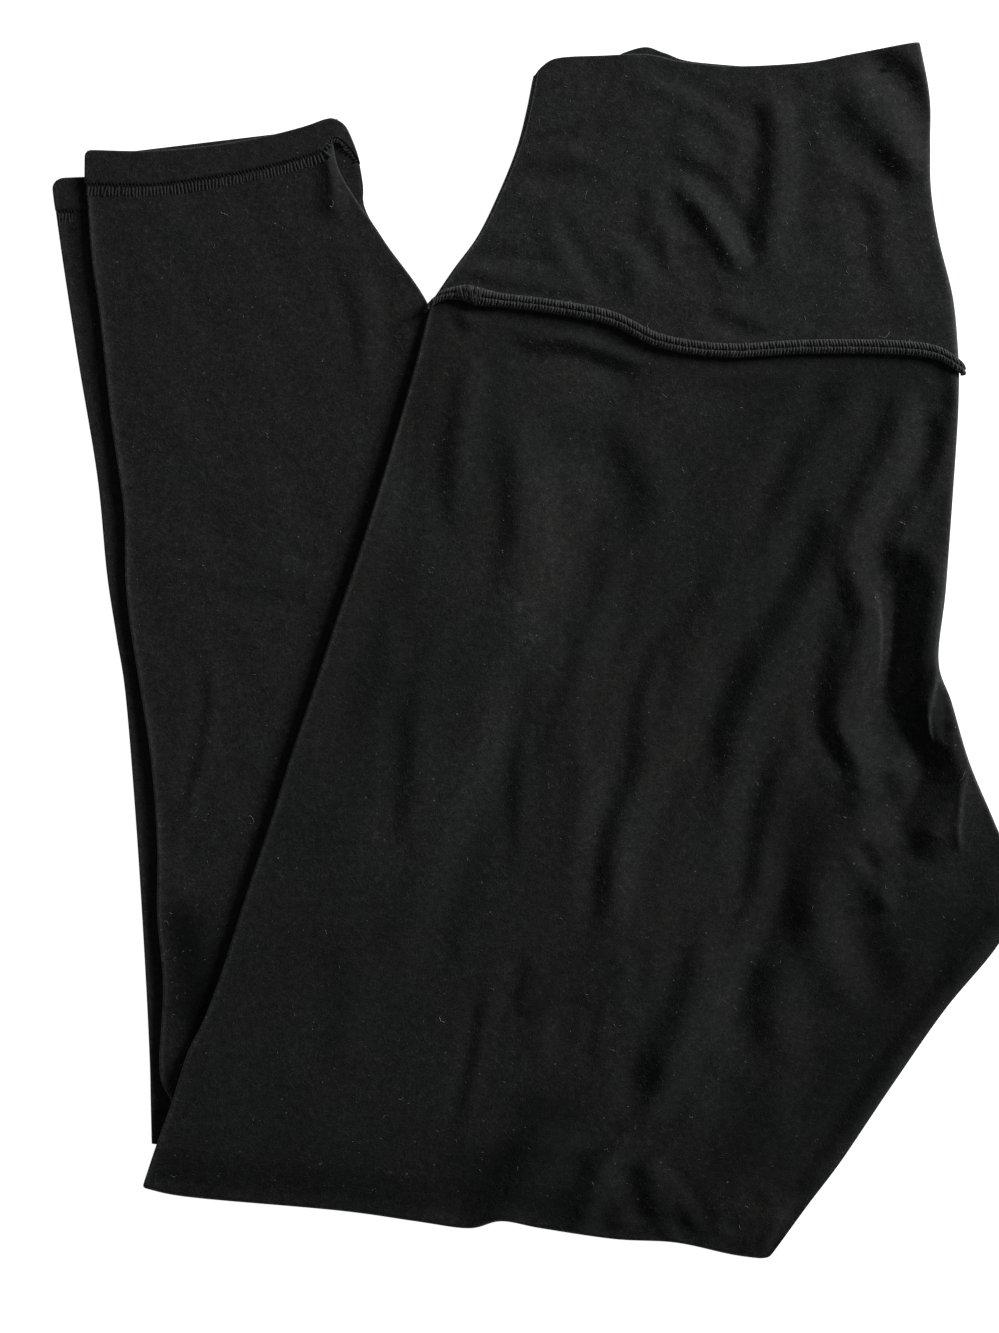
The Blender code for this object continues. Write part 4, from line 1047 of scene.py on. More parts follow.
def make_near_leg():
    crowded = np.concatenate([np.linspace(0.0, CROWDED, 160), np.linspace(CROWDED, 1.0, 121)[1:]])
    v = column_of(np.linspace(0.0, 1.0, LEG_ROWS), np.ones(RIGHT_TURNS.size))
    roll = column_of(np.full(LEG_ROWS, 90.0), RIGHT_TURNS)
    points, plain = near_leg_grid(columns(crowded, LEFT_TURNS, RIGHT_TURNS), v, roll)
    # painted light along the side and bottom folds, and painted light and shade in broad patches
    rim = rim_of(points, sides_of(LEG_SECTIONS)[0], BOTTOM_LINE) + painted_patches(LEG_PAINTED_PATCHES, points)
    leg = cloth("near_leg", points, plain=plain, rim=rim)
    finish_piece(leg, JERSEY, "brushed_jersey", "near_leg_upper")
    return leg, points


near_leg, near_leg_points = make_near_leg()

# %% [markdown]
# ## The waistband
# It is cut double, so its top edge is a soft roll and not a cut edge. The grid starts inside the mouth,
# comes up round that roll, and then runs down to the waist seam. The layer of the far half that peeks out
# above it is a flat piece of its own with the same roll.

# %% The waistband
BAND_WALL = 0.9
FRONT_IN = 2.6                       # how far the front half stays inside the back half's rounds
MOUTH_TURNS = np.linspace(-90.0, 78.0, 12)


def band_grid(cols, v, deep):
    width = waistband.width(v)
    left, right = (BAND_SIDE_REACH, BAND_SIDE_DEPTH), (BAND_CENTRE_REACH, BAND_TOP / 2)
    at, drop = folded(width, cols, left, right, deep)
    x_y = waistband.point(at / width, v)
    shown = np.maximum(np.sin(np.radians(cols.turn)), 0.0) * (1.0 - deep / BAND_PLY)
    return stack(x_y, BAND_TOP + shown * band_folds(x_y) - drop), stack(x_y, BAND_TOP - drop)


def mouth_rows(panel, flat_rows, inwards=9.0):
    """(v, depth below the face) from inside the mouth, round its roll and down the face."""
    half = BAND_PLY / 2
    turn = np.radians(MOUTH_TURNS)
    length = float(panel.along(0.5, 0.0))
    inside = np.linspace(inwards, half, 5)[:-1] / length
    rolled = (half - half * np.cos(turn)) / length
    flat = np.linspace(half / length, 1.0, flat_rows)
    deep = column_of(np.full(4, BAND_PLY), half - half * np.sin(turn), np.zeros(flat_rows))
    return column_of(inside, rolled, flat), deep


def make_band_top():
    v, deep = mouth_rows(waistband, 92)
    points, plain = band_grid(columns(np.linspace(0.0, 1.0, 150), LEFT_TURNS, RIGHT_TURNS), v, deep)
    left, _ = sides_of(BAND_SECTIONS)
    band = cloth("waistband_top", points, BAND_WALL, plain=plain, rim=rim_of(points, left))
    finish_piece(band, LIT_BAND_JERSEY, "waistband_jersey", "waistband_back", "waistband_side")
    return band, points


def make_band_front():
    v, deep = mouth_rows(front_band, 40, inwards=60.0)
    share = np.linspace(0.0, 1.0, 130)[None, :]
    width = front_band.width(v)
    left, right = BAND_SIDE_REACH + FRONT_IN, BAND_CENTRE_REACH + FRONT_IN
    u = (left + share * (width - left - right)) / width
    points = stack(front_band.point(u, v * 0.985), BAND_FRONT + BAND_PLY - deep)
    band = cloth("waistband_under", points, BAND_WALL, plain=points)
    finish_piece(band, LIT_BAND_JERSEY, "waistband_jersey", "waistband_front")
    return band, points


band_top, band_points = make_band_top()
band_under, band_under_points = make_band_front()

# %% [markdown]
# ## The lower legs
# Both lower legs come out from under the body at the left. The far leg's lies on top: its upper ply rounds
# the side fold, and its lower ply shows only at the hem, where the two have slid apart. The near leg's is
# the lowest of all, two plies pressed together.

# %% The lower legs
LOWER_WALL = 1.0
COVERED_FROM = 0.28                  # how far down the lower leg the body starts to cover its right side


def lower_cover(u, v):
    """How high the folds of the far leg's lower stretch stand; under the body it lies flat."""
    inside = (1.0 - u) * lower_leg.width(v)
    return np.where(v > COVERED_FROM, smooth((inside - 15.0) / 14.0), smooth(inside / 4.0))


def far_top_grid(cols, v):
    width = lower_leg.width(v)
    edge = (LOWER_REACH, LOWER_DEPTH)
    at, drop = folded(width, cols, edge, edge)
    x_y = lower_leg.point(at / width, v)
    folds = folds_at(LOWER_FOLDS, x_y) + ripple(x_y, 30.0, 0.12, 7)
    shown = np.maximum(np.sin(np.radians(cols.turn)), 0.0) * lower_cover(at / width, v)
    raised = shown * (folds + bead(at, SIDE_BEAD))
    return stack(x_y, FAR_TOP + raised - drop), stack(x_y, FAR_TOP - drop)


def make_far_top():
    start = float(HEM_IN / lower_leg.along(0.5, 0.0))
    v = column_of(np.linspace(start, 0.06, 24), np.linspace(0.064, 1.0, 150))
    cols = columns(np.linspace(0.0, 1.0, 84), LEFT_TURNS, np.linspace(78.0, -20.0, 7))
    points, plain = far_top_grid(cols, v)
    left, _ = sides_of(LOWER_SECTIONS)
    # painted light along the side fold, and a painted shadow over the far leg's lower end
    rim = rim_of(points, left) + painted_patches(LOWER_PAINTED_PATCHES, points)
    leg = cloth("far_leg_top", points, LOWER_WALL, plain=plain, rim=rim)
    finish_piece(leg, LIT_LOWER_JERSEY, "brushed_jersey", "far_leg_front")
    return leg, points


def back_edge_x(y):
    fine = even_curve(BACK_EDGE)(np.linspace(0.0, 1.0, 60))[::-1]
    return np.interp(y, fine[:, 1], fine[:, 0])


def back_plan(share, v, left):
    """The lower ply in plan; it reaches further right than the upper one at the hem."""
    a, b = np.broadcast_arrays(lower_leg.left(v), lower_leg.right(v))
    b = b.copy()
    further = np.maximum(b[..., 0], back_edge_x(b[..., 1]))
    b[..., 0] = np.where(b[..., 1] > BACK_EDGE[-1][1], further, b[..., 0])
    width = np.linalg.norm(b - a, axis=-1)
    return mix(a, b, ((left + share * (width - left)) / width)[..., None])


def make_far_under():
    start = float(HEM_IN / lower_leg.along(0.5, 0.0))
    v = column_of(np.linspace(start, 1.0, 120))
    share = np.linspace(0.0, 1.0, 60)[None, :]
    points = stack(back_plan(share, v, LOWER_REACH + 0.8), FAR_BACK + PLY)
    leg = cloth("far_leg_under", points, LOWER_WALL, plain=points)
    finish_piece(leg, LIT_LOWER_JERSEY, "brushed_jersey", "far_leg_back")
    return leg, points


def make_lowest():
    """Both plies of the lowest leg: up round the left fold, from the underside to the top."""
    v = column_of(np.linspace(0.0, 1.0, 150))
    width = lowest_leg.width(v)
    half = LOWEST_TOP / 2
    cols = columns(np.linspace(0.0, 1.0, 40), LEFT_TURNS)
    at, drop = folded(width, cols, (half, half), (half, half))
    length = lowest_leg.along(at / width, v)
    u = np.where(cols.side < 0, at, half + cols.share * (width - half - 0.8)) / width
    along = mix((HEM_IN + 0.8) / length, 1.0, v)
    x_y = lowest_leg.point(u, along)
    points = stack(x_y, LOWEST_TOP + LOWEST_CLIMB * smooth((at - 2.0) / 10.0) - drop)
    left, _ = sides_of(LOWEST_SECTIONS)
    plain = stack(x_y, LOWEST_TOP - drop)
    leg = cloth("lowest_leg", points, LOWER_WALL, plain=plain, rim=rim_of(points, left))
    finish_piece(leg, LIT_LOWER_JERSEY, "brushed_jersey", "near_leg_lower")
    return leg, points


far_top, far_top_points = make_far_top()
far_under, far_under_points = make_far_under()
lowest, lowest_points = make_lowest()

# %% [markdown]
# ## The hems
# Each hem is the cloth's end turned once and sewn down with a coverstitch, so it is a narrow band with a
# rounded upper edge and rounded corners. The far leg's hem runs round the end of the tube: past the ridge
# at the inseam it drops from the upper ply on to the lower one.

# %% The hems
FAR_HEM_SECTIONS = [Section(*row) for row in (
    (-190.4, 211.4, -84.2, 224.9),
    (-190.5, 208.0, -80.4, 221.0),
    (-190.5, 204.0, -77.7, 215.4),
    (-190.5, 200.3, -75.9, 210.6),
    (-190.4, 197.1, -74.5, 205.6),
)]
LOWEST_HEM_SECTIONS = [Section(*row) for row in (
    (-204.8, 199.8, -189.6, 200.4),
    (-204.4, 195.5, -189.6, 195.7),
    (-203.9, 191.0, -189.6, 190.9),
    (-203.2, 186.2, -189.6, 186.0),
)]
FAR_HEM_TOP = ((-190.4, 211.4), (-184.0, 211.2), (-165.0, 210.9), (-141.0, 212.7), (-117.0, 216.5),
               (-99.0, 220.9), (-89.5, 224.2), (-84.2, 224.9))
FAR_HEM_STITCHED = ((-190.4, 197.1), (-177.0, 196.8), (-164.9, 196.7), (-153.1, 197.6), (-140.9, 199.4),
                    (-128.7, 201.3), (-117.0, 203.6), (-104.8, 206.7), (-92.6, 210.3), (-89.3, 212.6),
                    (-88.0, 215.1), (-84.6, 216.4), (-81.7, 215.1), (-78.8, 212.0), (-76.0, 208.2),
                    (-74.5, 205.6))
FAR_HEM = Panel(FAR_HEM_SECTIONS, FAR_HEM_TOP, FAR_HEM_STITCHED)
LOWEST_HEM = Panel(LOWEST_HEM_SECTIONS)
HEM_WALL, HEM_HIGH, HEM_SKIRT = 0.7, 0.75, 1.0
HEM_REACH, HEM_ROUND = 1.6, 1.3      # the rounded edge: reach in plan, depth


def corner_rounded(a, b, radius):
    """Distances from two edges, moved so that their corner is a quarter round, and the distance inwards."""
    p, q = np.maximum(radius - a, 0.0), np.maximum(radius - b, 0.0)
    both = (p > 0) & (q > 0)
    scale = np.where(both, np.maximum(p, q) / np.maximum(np.hypot(p, q), 1e-9), 1.0)
    p, q = p * scale, q * scale
    inwards = np.where(both, radius - np.hypot(p, q), np.minimum(a, b))
    return np.where(both, radius - p, a), np.where(both, radius - q, b), inwards


def round_drop(inwards, reach, depth):
    """How far a rounded edge lies below the top, at a distance inwards from the outline."""
    t = np.clip(1.0 - inwards / reach, 0.0, 1.0)
    return depth * (1.0 - np.sqrt(1.0 - t * t))


def edge_spaced(length, reach, count):
    """Distances from 0 to `length`, close together over the round at the start."""
    turn = np.linspace(0.0, pi / 2, 9)
    return np.concatenate([reach * (1.0 - np.cos(turn)), np.linspace(reach, length, count)[1:]])


def with_skirt(points, down, sides):
    """Adds a strip that turns down and in from the top, left or right border of a grid."""
    if "t" in sides:
        lowered = mix(points[:1], points[1:2], 0.5)
        lowered[..., 2] = points[:1, :, 2] - down
        points = np.concatenate([lowered, points])
    if "l" in sides:
        lowered = points[:, :1] + np.array((0.3, 0.0, -down))
        points = np.concatenate([lowered, points], axis=1)
    if "r" in sides:
        lowered = points[:, -1:] + np.array((-0.3, 0.0, -down))
        points = np.concatenate([points, lowered], axis=1)
    return points


def far_hem_top(x_y):
    """Top of the far leg at its hem, which drops on to the lower ply past the inseam ridge."""
    front = FAR_TOP + folds_at(LOWER_FOLDS, x_y)
    return mix(front, FAR_BACK + PLY + 0.4, smooth((x_y[..., 0] + 87.0) / 11.0))


def lowest_hem_top(x_y):
    return np.full(x_y.shape[:-1], LOWEST_TOP)


def hem_grid(panel, top, left, right):
    """A hem band: `left` and `right` are the corners' radii, 0 where that side isn't an edge."""
    width = float(panel.width(0.5))
    height = float(panel.along(0.5, 0.0))
    a, b = (edge_spaced(width / 2, HEM_REACH, 60) if radius else np.linspace(0.0, width / 2, 40)
            for radius in (left, right))
    across = np.concatenate([a, width - b[::-1][1:]])
    a, down = np.meshgrid(across, edge_spaced(height, HEM_REACH, 26))
    a, down_left, inwards = corner_rounded(a, down, left) if left else (a, down, down)
    b, down_both, inwards_right = (corner_rounded(width - a, down_left, right) if right
                                   else (width - a, down_left, down_left))
    inwards = np.where(a < width / 2, inwards, inwards_right)
    x_y = panel.point(np.where(a < width / 2, a, width - b) / width, down_both / height)
    drop = round_drop(inwards, HEM_REACH, HEM_ROUND)
    end = 0.5 * smooth((down_both / height - 0.93) / 0.07)      # pulled down by the stitches
    sides = "t" + "l" * bool(left) + "r" * bool(right)
    return with_skirt(stack(x_y, top(x_y) + HEM_HIGH * (1.0 - end) - drop), HEM_SKIRT, sides)


def make_far_hem():
    points = hem_grid(FAR_HEM, far_hem_top, left=3.2, right=3.2)
    left, _ = sides_of(FAR_HEM_SECTIONS)
    hem = cloth("far_hem", points, HEM_WALL, plain=points, rim=rim_of(points, left))
    finish_piece(hem, LIT_LOWER_JERSEY, "brushed_jersey", "far_hem_front", "far_hem_back")
    return hem


def make_lowest_hem():
    points = hem_grid(LOWEST_HEM, lowest_hem_top, left=5.2, right=0.0)
    left, _ = sides_of(LOWEST_HEM_SECTIONS)
    hem = cloth("lowest_hem", points, HEM_WALL, plain=points, rim=rim_of(points, left))
    finish_piece(hem, LIT_LOWER_JERSEY, "brushed_jersey", "near_hem")
    return hem


far_hem = make_far_hem()
lowest_hem = make_lowest_hem()

# %% [markdown]
# ## The layers inside
# Between the pieces that show lie the folded layers that nothing shows. They are one solid with a rim like
# a stack of rounded cloth edges: one half round to each pair of plies.

# %% The layers inside
# insets from the outline at the levels 0 to 5, at the mouth and at the two sides of the legs
MOUTH_IN = (1.5, 0.6, 1.4, 0.6, 1.5, 4.0)
LEG_LEFT_IN = (15.0, 14.5, 1.4, 0.5, 1.4, 6.0)
LEG_LEFT_END_IN = (2.2, 1.2, 1.6, 0.5, 1.4, 6.0)
INSEAM_IN = (1.5, 0.6, 1.3, 0.6, 1.5, 6.0)
LEDGE, LEDGE_RISE = 6.8, 0.2         # up to here the left side stands back, behind the lower legs
FOLD_DROP, HIDDEN_DROP = 4.9, 4.6    # the shoulder and the top, below the near leg's plain face
NOSE_FOOT, NOSE_FLAT, NOSE_IN = 9.0, 1.6, 3.0    # the round end that fills the bottom fold
LEGS_LEAVE, LEGS_LEFT = 1.895, 1.95  # where the lower legs go under it and the left side fills out
NOSE_START = 1.985


def inset_at(insets, k):
    """Inset at a level from 0 to 5: half rounds between 0, 2 and 4, then the shoulder to the top."""
    k = np.asarray(k, float)
    whole = np.interp(k, range(6), insets)
    pair = np.clip(np.floor(k / 2).astype(int), 0, 1)
    t = np.clip(k / 2 - pair, 0.0, 1.0) * 2.0 - 1.0
    ends = mix(np.take(insets, 2 * pair), np.take(insets, np.minimum(2 * pair + 2, 4)), (t + 1.0) / 2)
    bulge = np.take(insets, 2 * pair + 1)
    rounded = ends - (ends - bulge) * np.sqrt(np.maximum(1.0 - t * t, 0.0))
    return np.where(k <= 4.0, rounded, whole)


def side_inset(v, k):
    below, gone = smooth((v - 1.0) / 0.03), smooth((v - LEGS_LEAVE) / (LEGS_LEFT - LEGS_LEAVE))
    left = mix(inset_at(MOUTH_IN, k), inset_at(LEG_LEFT_IN, k), below)
    left = mix(left, inset_at(LEG_LEFT_END_IN, k), gone)
    crotch = smooth((v - 1.0 - CROTCH_SHARE - 0.05) / 0.06)
    nose = np.where(v >= 2.0, NOSE_IN, 0.0)
    return left + nose, mix(BAND_CENTRE_REACH + 0.6, inset_at(INSEAM_IN, k), crotch) + nose


def hidden_height(share, v, k, ground):
    below, gone = smooth((v - 1.0) / 0.03), smooth((v - LEGS_LEAVE) / (LEGS_LEFT - LEGS_LEAVE))
    over, top = ground - FOLD_DROP, ground - HIDDEN_DROP
    plain = np.where(k <= 4.0, over * k / 4.0, mix(over, top, k - 4.0))
    stepped = np.interp(k, (0, 1, 2), (0.0, LEDGE - LEDGE_RISE, LEDGE))
    stepped = stepped + np.maximum(k - 2.0, 0.0) / 2.0 * (over - LEDGE)
    stepped = np.where(k <= 4.0, stepped, mix(over, top, k - 4.0))
    left = np.where(ground > LEDGE + FOLD_DROP + 0.1, mix(stepped, plain, gone), plain)
    return mix(BAND_PAIR * np.minimum(k / 4.0, 1.0), mix(left, plain, share), below)


def shell_of(name, place, across, along, levels):
    """A closed solid: the six sides of a grid of points."""
    k, j, i = np.meshgrid(range(len(levels)), range(len(along)), range(len(across)), indexing="ij")
    points = place(across[i], along[j], levels[k])
    number = np.arange(k.size).reshape(k.shape)
    rim = np.ones(k.shape, bool)
    rim[1:-1, 1:-1, 1:-1] = False
    renumber = np.cumsum(rim.reshape(-1)) - 1
    faces = []
    for flat in (number[0], number[-1], number[:, 0], number[:, -1], number[:, :, 0], number[:, :, -1]):
        faces.append(renumber[quads_of(flat)])
    mesh = bpy.data.meshes.new(name)
    mesh.from_pydata(in_metres(points.reshape(-1, 3)[rim.reshape(-1)]), [], np.concatenate(faces))
    obj = link(mesh, name)
    select_only(obj)
    bpy.ops.object.mode_set(mode="EDIT")
    bpy.ops.mesh.select_all(action="SELECT")
    bpy.ops.mesh.normals_make_consistent(inside=False)
    bpy.ops.object.mode_set(mode="OBJECT")
    bpy.ops.object.shade_smooth_by_angle(angle=radians(55))
    return obj


def inner_place(share, v, k):
    left, right = side_inset(v, k)
    in_band = v <= 1.0
    along = np.where(in_band, v, v - 1.0)
    width = np.where(in_band, waistband.width(along), upper_leg.width(along))
    u = (left + share * (width - left - right)) / width
    on_leg = leg_along(u, along, BOTTOM_REACH)
    mouth = inset_at(MOUTH_IN, k) / waistband.along(u, 0.0)
    on_band = np.where(v == 0.0, mouth, along)
    band_at, leg_at = waistband.point(u, on_band), upper_leg.point(u, on_leg)
    ground = np.where(in_band, BAND_TOP, leg_ground(leg_at))
    height = hidden_height(share, v, k, ground)
    half = leg_ground(upper_leg.point(u, 1.0)) / 2
    bulge = np.sqrt(np.maximum(0.0, 1.0 - ((height - half) / (half - NOSE_FLAT)) ** 2))
    nose_at = upper_leg.point(u, 1.0 - mix(NOSE_FOOT, PLY + 1.2, bulge) / upper_leg.along(u, 1.0))
    x_y = np.where((v >= 2.0)[..., None], nose_at, np.where(in_band[..., None], band_at, leg_at))
    return stack(x_y, height)


def make_inner():
    levels = np.concatenate([np.linspace(0.0, 4.0, 25), [4.5, 5.0]])
    down = np.concatenate([np.linspace(0.0, 1.0, 20), 1.0 + np.linspace(0.0, 1.0, 90)[1:], [2.0]])
    down[-2] = NOSE_START            # the last row of the flat stops just short of the nose
    inner = shell_of("folded_layers", inner_place, np.linspace(0.0, 1.0, 24), down, levels)
    # a darker copy of the jersey, painted shade in the gaps between the plies
    finish_piece(inner, SHADED_INNER, "folded_layers", "hidden_layers")


make_inner()

# %% [markdown]
# ## The waist seam
# The seam is overlocked: a rolled edge with thread lying across it, one bar beside the next, and a row of
# small dark holes along its middle. The roll is a grid that follows the seam round both folded edges.

# %% The waist seam
ROLL_HALF, ROLL_RISE, ROLL_EDGE, ROLL_GAP = 3.0, 1.6, 0.5, 0.65
KNOT_AT, KNOT_HALF, KNOT_RISE = -28.5, 7.0, 0.8
ROLL_LEFT, ROLL_RIGHT = 5.6, 9.4         # lengths of both wrapped ends
SEAM_LENGTH = float(np.linalg.norm(np.diff(seam_fine, axis=0), axis=1).sum())
ROLL_FLAT = SEAM_LENGTH - BAND_SIDE_REACH - BAND_CENTRE_REACH
ROLL_LENGTH = ROLL_LEFT + ROLL_FLAT + ROLL_RIGHT


def on_roll(run, across, up):
    """A point on the roll: `run` millimetres along it, `across` from -1 above to 1 below, `up` over it."""
    run, across, up = np.broadcast_arrays(*(np.asarray(a, float) for a in (run, across, up)))
    side = np.select([run < ROLL_LEFT, run > ROLL_LEFT + ROLL_FLAT], [-1.0, 1.0], 0.0)
    turn = np.select([side < 0, side > 0],
                     [-25.0 + 115.0 * run / ROLL_LEFT,
                      90.0 - 108.0 * (run - ROLL_LEFT - ROLL_FLAT) / ROLL_RIGHT], 90.0)
    share = np.clip((run - ROLL_LEFT) / ROLL_FLAT, 0.0, 1.0)
    knot = np.where(side == 0, np.exp(-((seam_line(share)[..., 0] - KNOT_AT) / KNOT_HALF) ** 2), 0.0)
    left, right = (BAND_SIDE_REACH, BAND_SIDE_DEPTH), (BAND_CENTRE_REACH, BAND_TOP / 2)
    half = ROLL_HALF * (1.0 + 0.3 * knot)

    def on_panel(panel, v):
        width = panel.width(np.full(run.shape, v))
        at, drop = folded(width, Columns(side, turn, share), left, right, -up - ROLL_GAP)
        u = at / width
        return panel.point(u, v + across * half / panel.along(u, np.full(run.shape, v))), drop

    above, drop = on_panel(waistband, 1.0)
    below, _ = on_panel(upper_leg, 0.0)
    x_y = np.where((across <= 0)[..., None], above, below)
    return stack(x_y, BAND_TOP - drop + KNOT_RISE * knot * up / 2.1)


def roll_profile(across):
    """Height of the roll's cloth, with the dip that the middle row of holes lies in."""
    dip = 0.55 * np.exp(-((across - 0.02) / 0.10) ** 2)
    return ROLL_EDGE + ROLL_RISE * np.sqrt(np.maximum(1.0 - across ** 2, 0.0)) - dip


def make_roll():
    angle = np.linspace(-pi / 2, pi / 2, 25)
    across = np.sin(angle)[:, None]
    run = np.linspace(0.0, ROLL_LENGTH, 900)[None, :]
    waves = 0.10 * np.sin(run * 2 * pi / 1.37 + 3.0 * across) + 0.06 * np.sin(run * 0.9)
    points = on_roll(run, across, roll_profile(across) + waves - 0.12)
    roll = cloth("waist_roll", points, 0.8)
    # the roll under the stitches takes a darker copy of the thread: painted shade
    finish_piece(roll, SHADED_ROLL_THREAD, "seam_thread", "waist_seam")


make_roll()

# %% [markdown]
# ## Stitches
# One stitch is a short bent thread. It is modelled once as a bevelled curve, and then laid some hundreds of
# times along the seams: over the waist roll, along the side seam and across both hems. No two lie quite the
# same, so each copy gets a slightly different slant, length and height.

# %% One stitch, and rows of it
def model_stitch():
    """A bent thread from y -1 to 1, with a radius of about 1; returns its points and faces."""
    bpy.ops.object.select_all(action="DESELECT")
    bpy.ops.curve.primitive_bezier_curve_add()
    obj = bpy.context.object
    line = obj.data
    line.dimensions, line.resolution_u = "3D", 4
    line.bevel_depth, line.bevel_resolution = 0.5, 1
    for point, y in zip(line.splines[0].bezier_points, (-1.0, 1.0)):
        point.co = (0.0, y, 0.0)
        point.handle_left = (0.0, y - 0.5, 0.0)
        point.handle_right = (0.0, y + 0.5, 0.0)
    bpy.ops.object.convert(target="MESH")
    mesh = bpy.context.object.data
    points = np.array([v.co for v in mesh.vertices])
    faces = [tuple(p.vertices) for p in mesh.polygons]
    bpy.data.objects.remove(bpy.context.object)
    return points, faces


STITCH, STITCH_FACES = model_stitch()
print("one stitch has", len(STITCH_FACES), "faces")


def joined(name, shapes, faces):
    """One mesh of many copies of a shape; `shapes` is (copies, points, 3) in millimetres."""
    copies, size = shapes.shape[:2]
    mesh = bpy.data.meshes.new(name)
    every = [tuple(v + size * k for v in face) for k in range(copies) for face in faces]
    mesh.from_pydata(in_metres(shapes).reshape(-1, 3), [], every)
    obj = link(mesh, name)
    select_only(obj)
    bpy.ops.object.shade_smooth()
    return obj


def thread_piece(name, shapes, material=LIT_THREAD):
    finish_piece(joined(name, shapes, STITCH_FACES), material, "seam_thread")


def roll_stitches(rng, first, last, shares, slant, wide):
    """A row of stitches over the roll, each from one share across it to another."""
    runs = np.arange(first, last, 1.32)[:, None]
    count = runs.shape
    low, high = (share + rng.normal(0, 0.04, count) for share in shares)
    lean, wide = slant + rng.normal(0, 0.15, count), wide * rng.uniform(0.85, 1.15, count)
    x, y, z = STITCH.T
    across = mix(low, high, (y + 1) / 2)
    along = runs + rng.normal(0, 0.10, count) + x * 2 * wide + lean * y
    lift = 0.42 * (1.0 - y ** 2) + rng.normal(0, 0.05, count)
    up = roll_profile(np.clip(across, -0.98, 0.98)) - 0.22 + lift + z * 1.7 * wide
    return on_roll(along, across, up)


def knot_stitches(rng, count):
    """Threads that cross one another where the side seam meets the roll."""
    shape = (count, 1)
    x, y, z = STITCH.T
    along = ROLL_LEFT + 14.0 + rng.uniform(-5.0, 5.0, shape) + x * 0.8
    along = along + (0.9 + rng.normal(0, 0.3, shape)) * y
    across = np.clip(rng.normal(0.0, 0.3, shape) + 0.55 * y, -0.97, 0.97)
    up = roll_profile(across) + 0.15 + rng.uniform(0.0, 0.4, shape) + z * 0.8
    return on_roll(along, across, up)


def make_roll_stitches():
    rng = np.random.default_rng(21)
    thread_piece("roll_stitches", np.concatenate([
        roll_stitches(rng, 0.8, ROLL_LENGTH - 0.8, (-0.94, 0.02), 0.30, 0.52),
        roll_stitches(rng, 1.4, ROLL_LENGTH - 1.0, (0.06, 0.92), -0.05, 0.52),
        knot_stitches(rng, 34)]))


def make_side_seam():
    """The raised side seam of the waistband, a soft cord with stitches across it."""
    v = column_of(np.linspace(0.012, 0.965, 160))
    turn = np.linspace(0.0, pi, 11)[None, :]
    x_y = waistband.point((SIDE_SEAM_IN - 0.9 * np.cos(turn)) / waistband.width(v), v)
    seam = cloth("side_seam_cord", stack(x_y, BAND_TOP + band_folds(x_y) - 0.15 + 0.55 * np.sin(turn)))
    finish_piece(seam, LIT_BAND_JERSEY, "seam_thread", "side_seam")
    rng = np.random.default_rng(8)
    length = float(waistband.along(0.0, 0.5))
    runs = np.arange(2.0, length - 5.0, 1.5)[:, None]
    x, y, z = STITCH.T
    v = (runs + rng.normal(0, 0.12, runs.shape) + x * 0.7 + 0.35 * y) / length
    at = SIDE_SEAM_IN + y * 1.05 + rng.normal(0, 0.08, runs.shape)
    x_y = waistband.point(at / waistband.width(v), v)
    height = BAND_TOP + band_folds(x_y) + 0.42 - 0.40 * y ** 2 + z * 0.35
    thread_piece("side_seam_stitches", stack(x_y, height))


STITCH_PITCH = 1.45


def hem_stitches(name, panel, top, needles_to, stop, seed):
    """The coverstitch under a hem: short needle threads painted dark, as painted shade in the groove along
    the hem, and bars below them painted lighter, as a painted highlight. Past `needles_to`, a share of its
    length, only short bars show."""
    rng = np.random.default_rng(seed)
    share = np.linspace(0.0, 1.0, 500)
    line = panel.point(share, np.ones(500))
    length = np.concatenate([[0.0], np.cumsum(np.linalg.norm(np.diff(line, axis=0), axis=1))])
    way = np.gradient(line, axis=0)
    way /= np.linalg.norm(way, axis=1)[:, None]

    def at(run, down, up):
        """Points at a length along the seam, `down` from it on the cloth and `up` over it."""
        base = np.stack([np.interp(run, length, line[:, k]) for k in (0, 1)], axis=-1)
        side = np.stack([np.interp(run, length, way[:, k]) for k in (0, 1)], axis=-1)
        x_y = base + down[..., None] * np.stack([side[..., 1], -side[..., 0]], axis=-1)
        return stack(x_y, top(x_y) + up)

    x, y, z = STITCH.T
    runs = np.arange(0.8, length[-1] * stop, STITCH_PITCH)[:, None]
    count = runs.shape
    plain = runs < length[-1] * needles_to
    runs = runs + rng.normal(0, 0.12, count)

    # short needle threads across the edge, dark as painted shade
    lean, half = 0.45 + rng.normal(0, 0.18, count), 1.05 + rng.normal(0, 0.12, count)
    needles = at(runs + x * 0.6 + lean * y, -0.1 + half * y, 0.55 - 0.2 * y ** 2 + z * 0.3)

    # longer bars below them, on the cloth of the leg, lighter as a painted highlight
    lean = -0.2 + rng.normal(0, 0.22, count)
    half = np.where(plain, 2.05, 0.95) + rng.normal(0, 0.18, count)
    middle = np.where(plain, 2.95, 1.1)
    bars = at(runs + 0.6 + x * 1.05 + lean * y, middle + half * y, 0.16 - 0.15 * y ** 2 + z * 0.45)
    thread_piece(f"{name}_needles", needles[plain[:, 0]], SHADED_NEEDLE)
    thread_piece(f"{name}_loopers", bars, LIT_LOOPER)


make_roll_stitches()
make_side_seam()
hem_stitches("far_hem", FAR_HEM, far_hem_top, needles_to=0.81, stop=0.985, seed=31)
hem_stitches("lowest_hem", LOWEST_HEM, lowest_hem_top, needles_to=1.0, stop=0.98, seed=32)

# %% [markdown]
# ## Lint
# Black brushed cloth gathers lint, and its own fibres work loose. Each is a thin curled hair, a
# line that wanders a little as it goes. They are laid on the tops of the pieces, most of them very short.

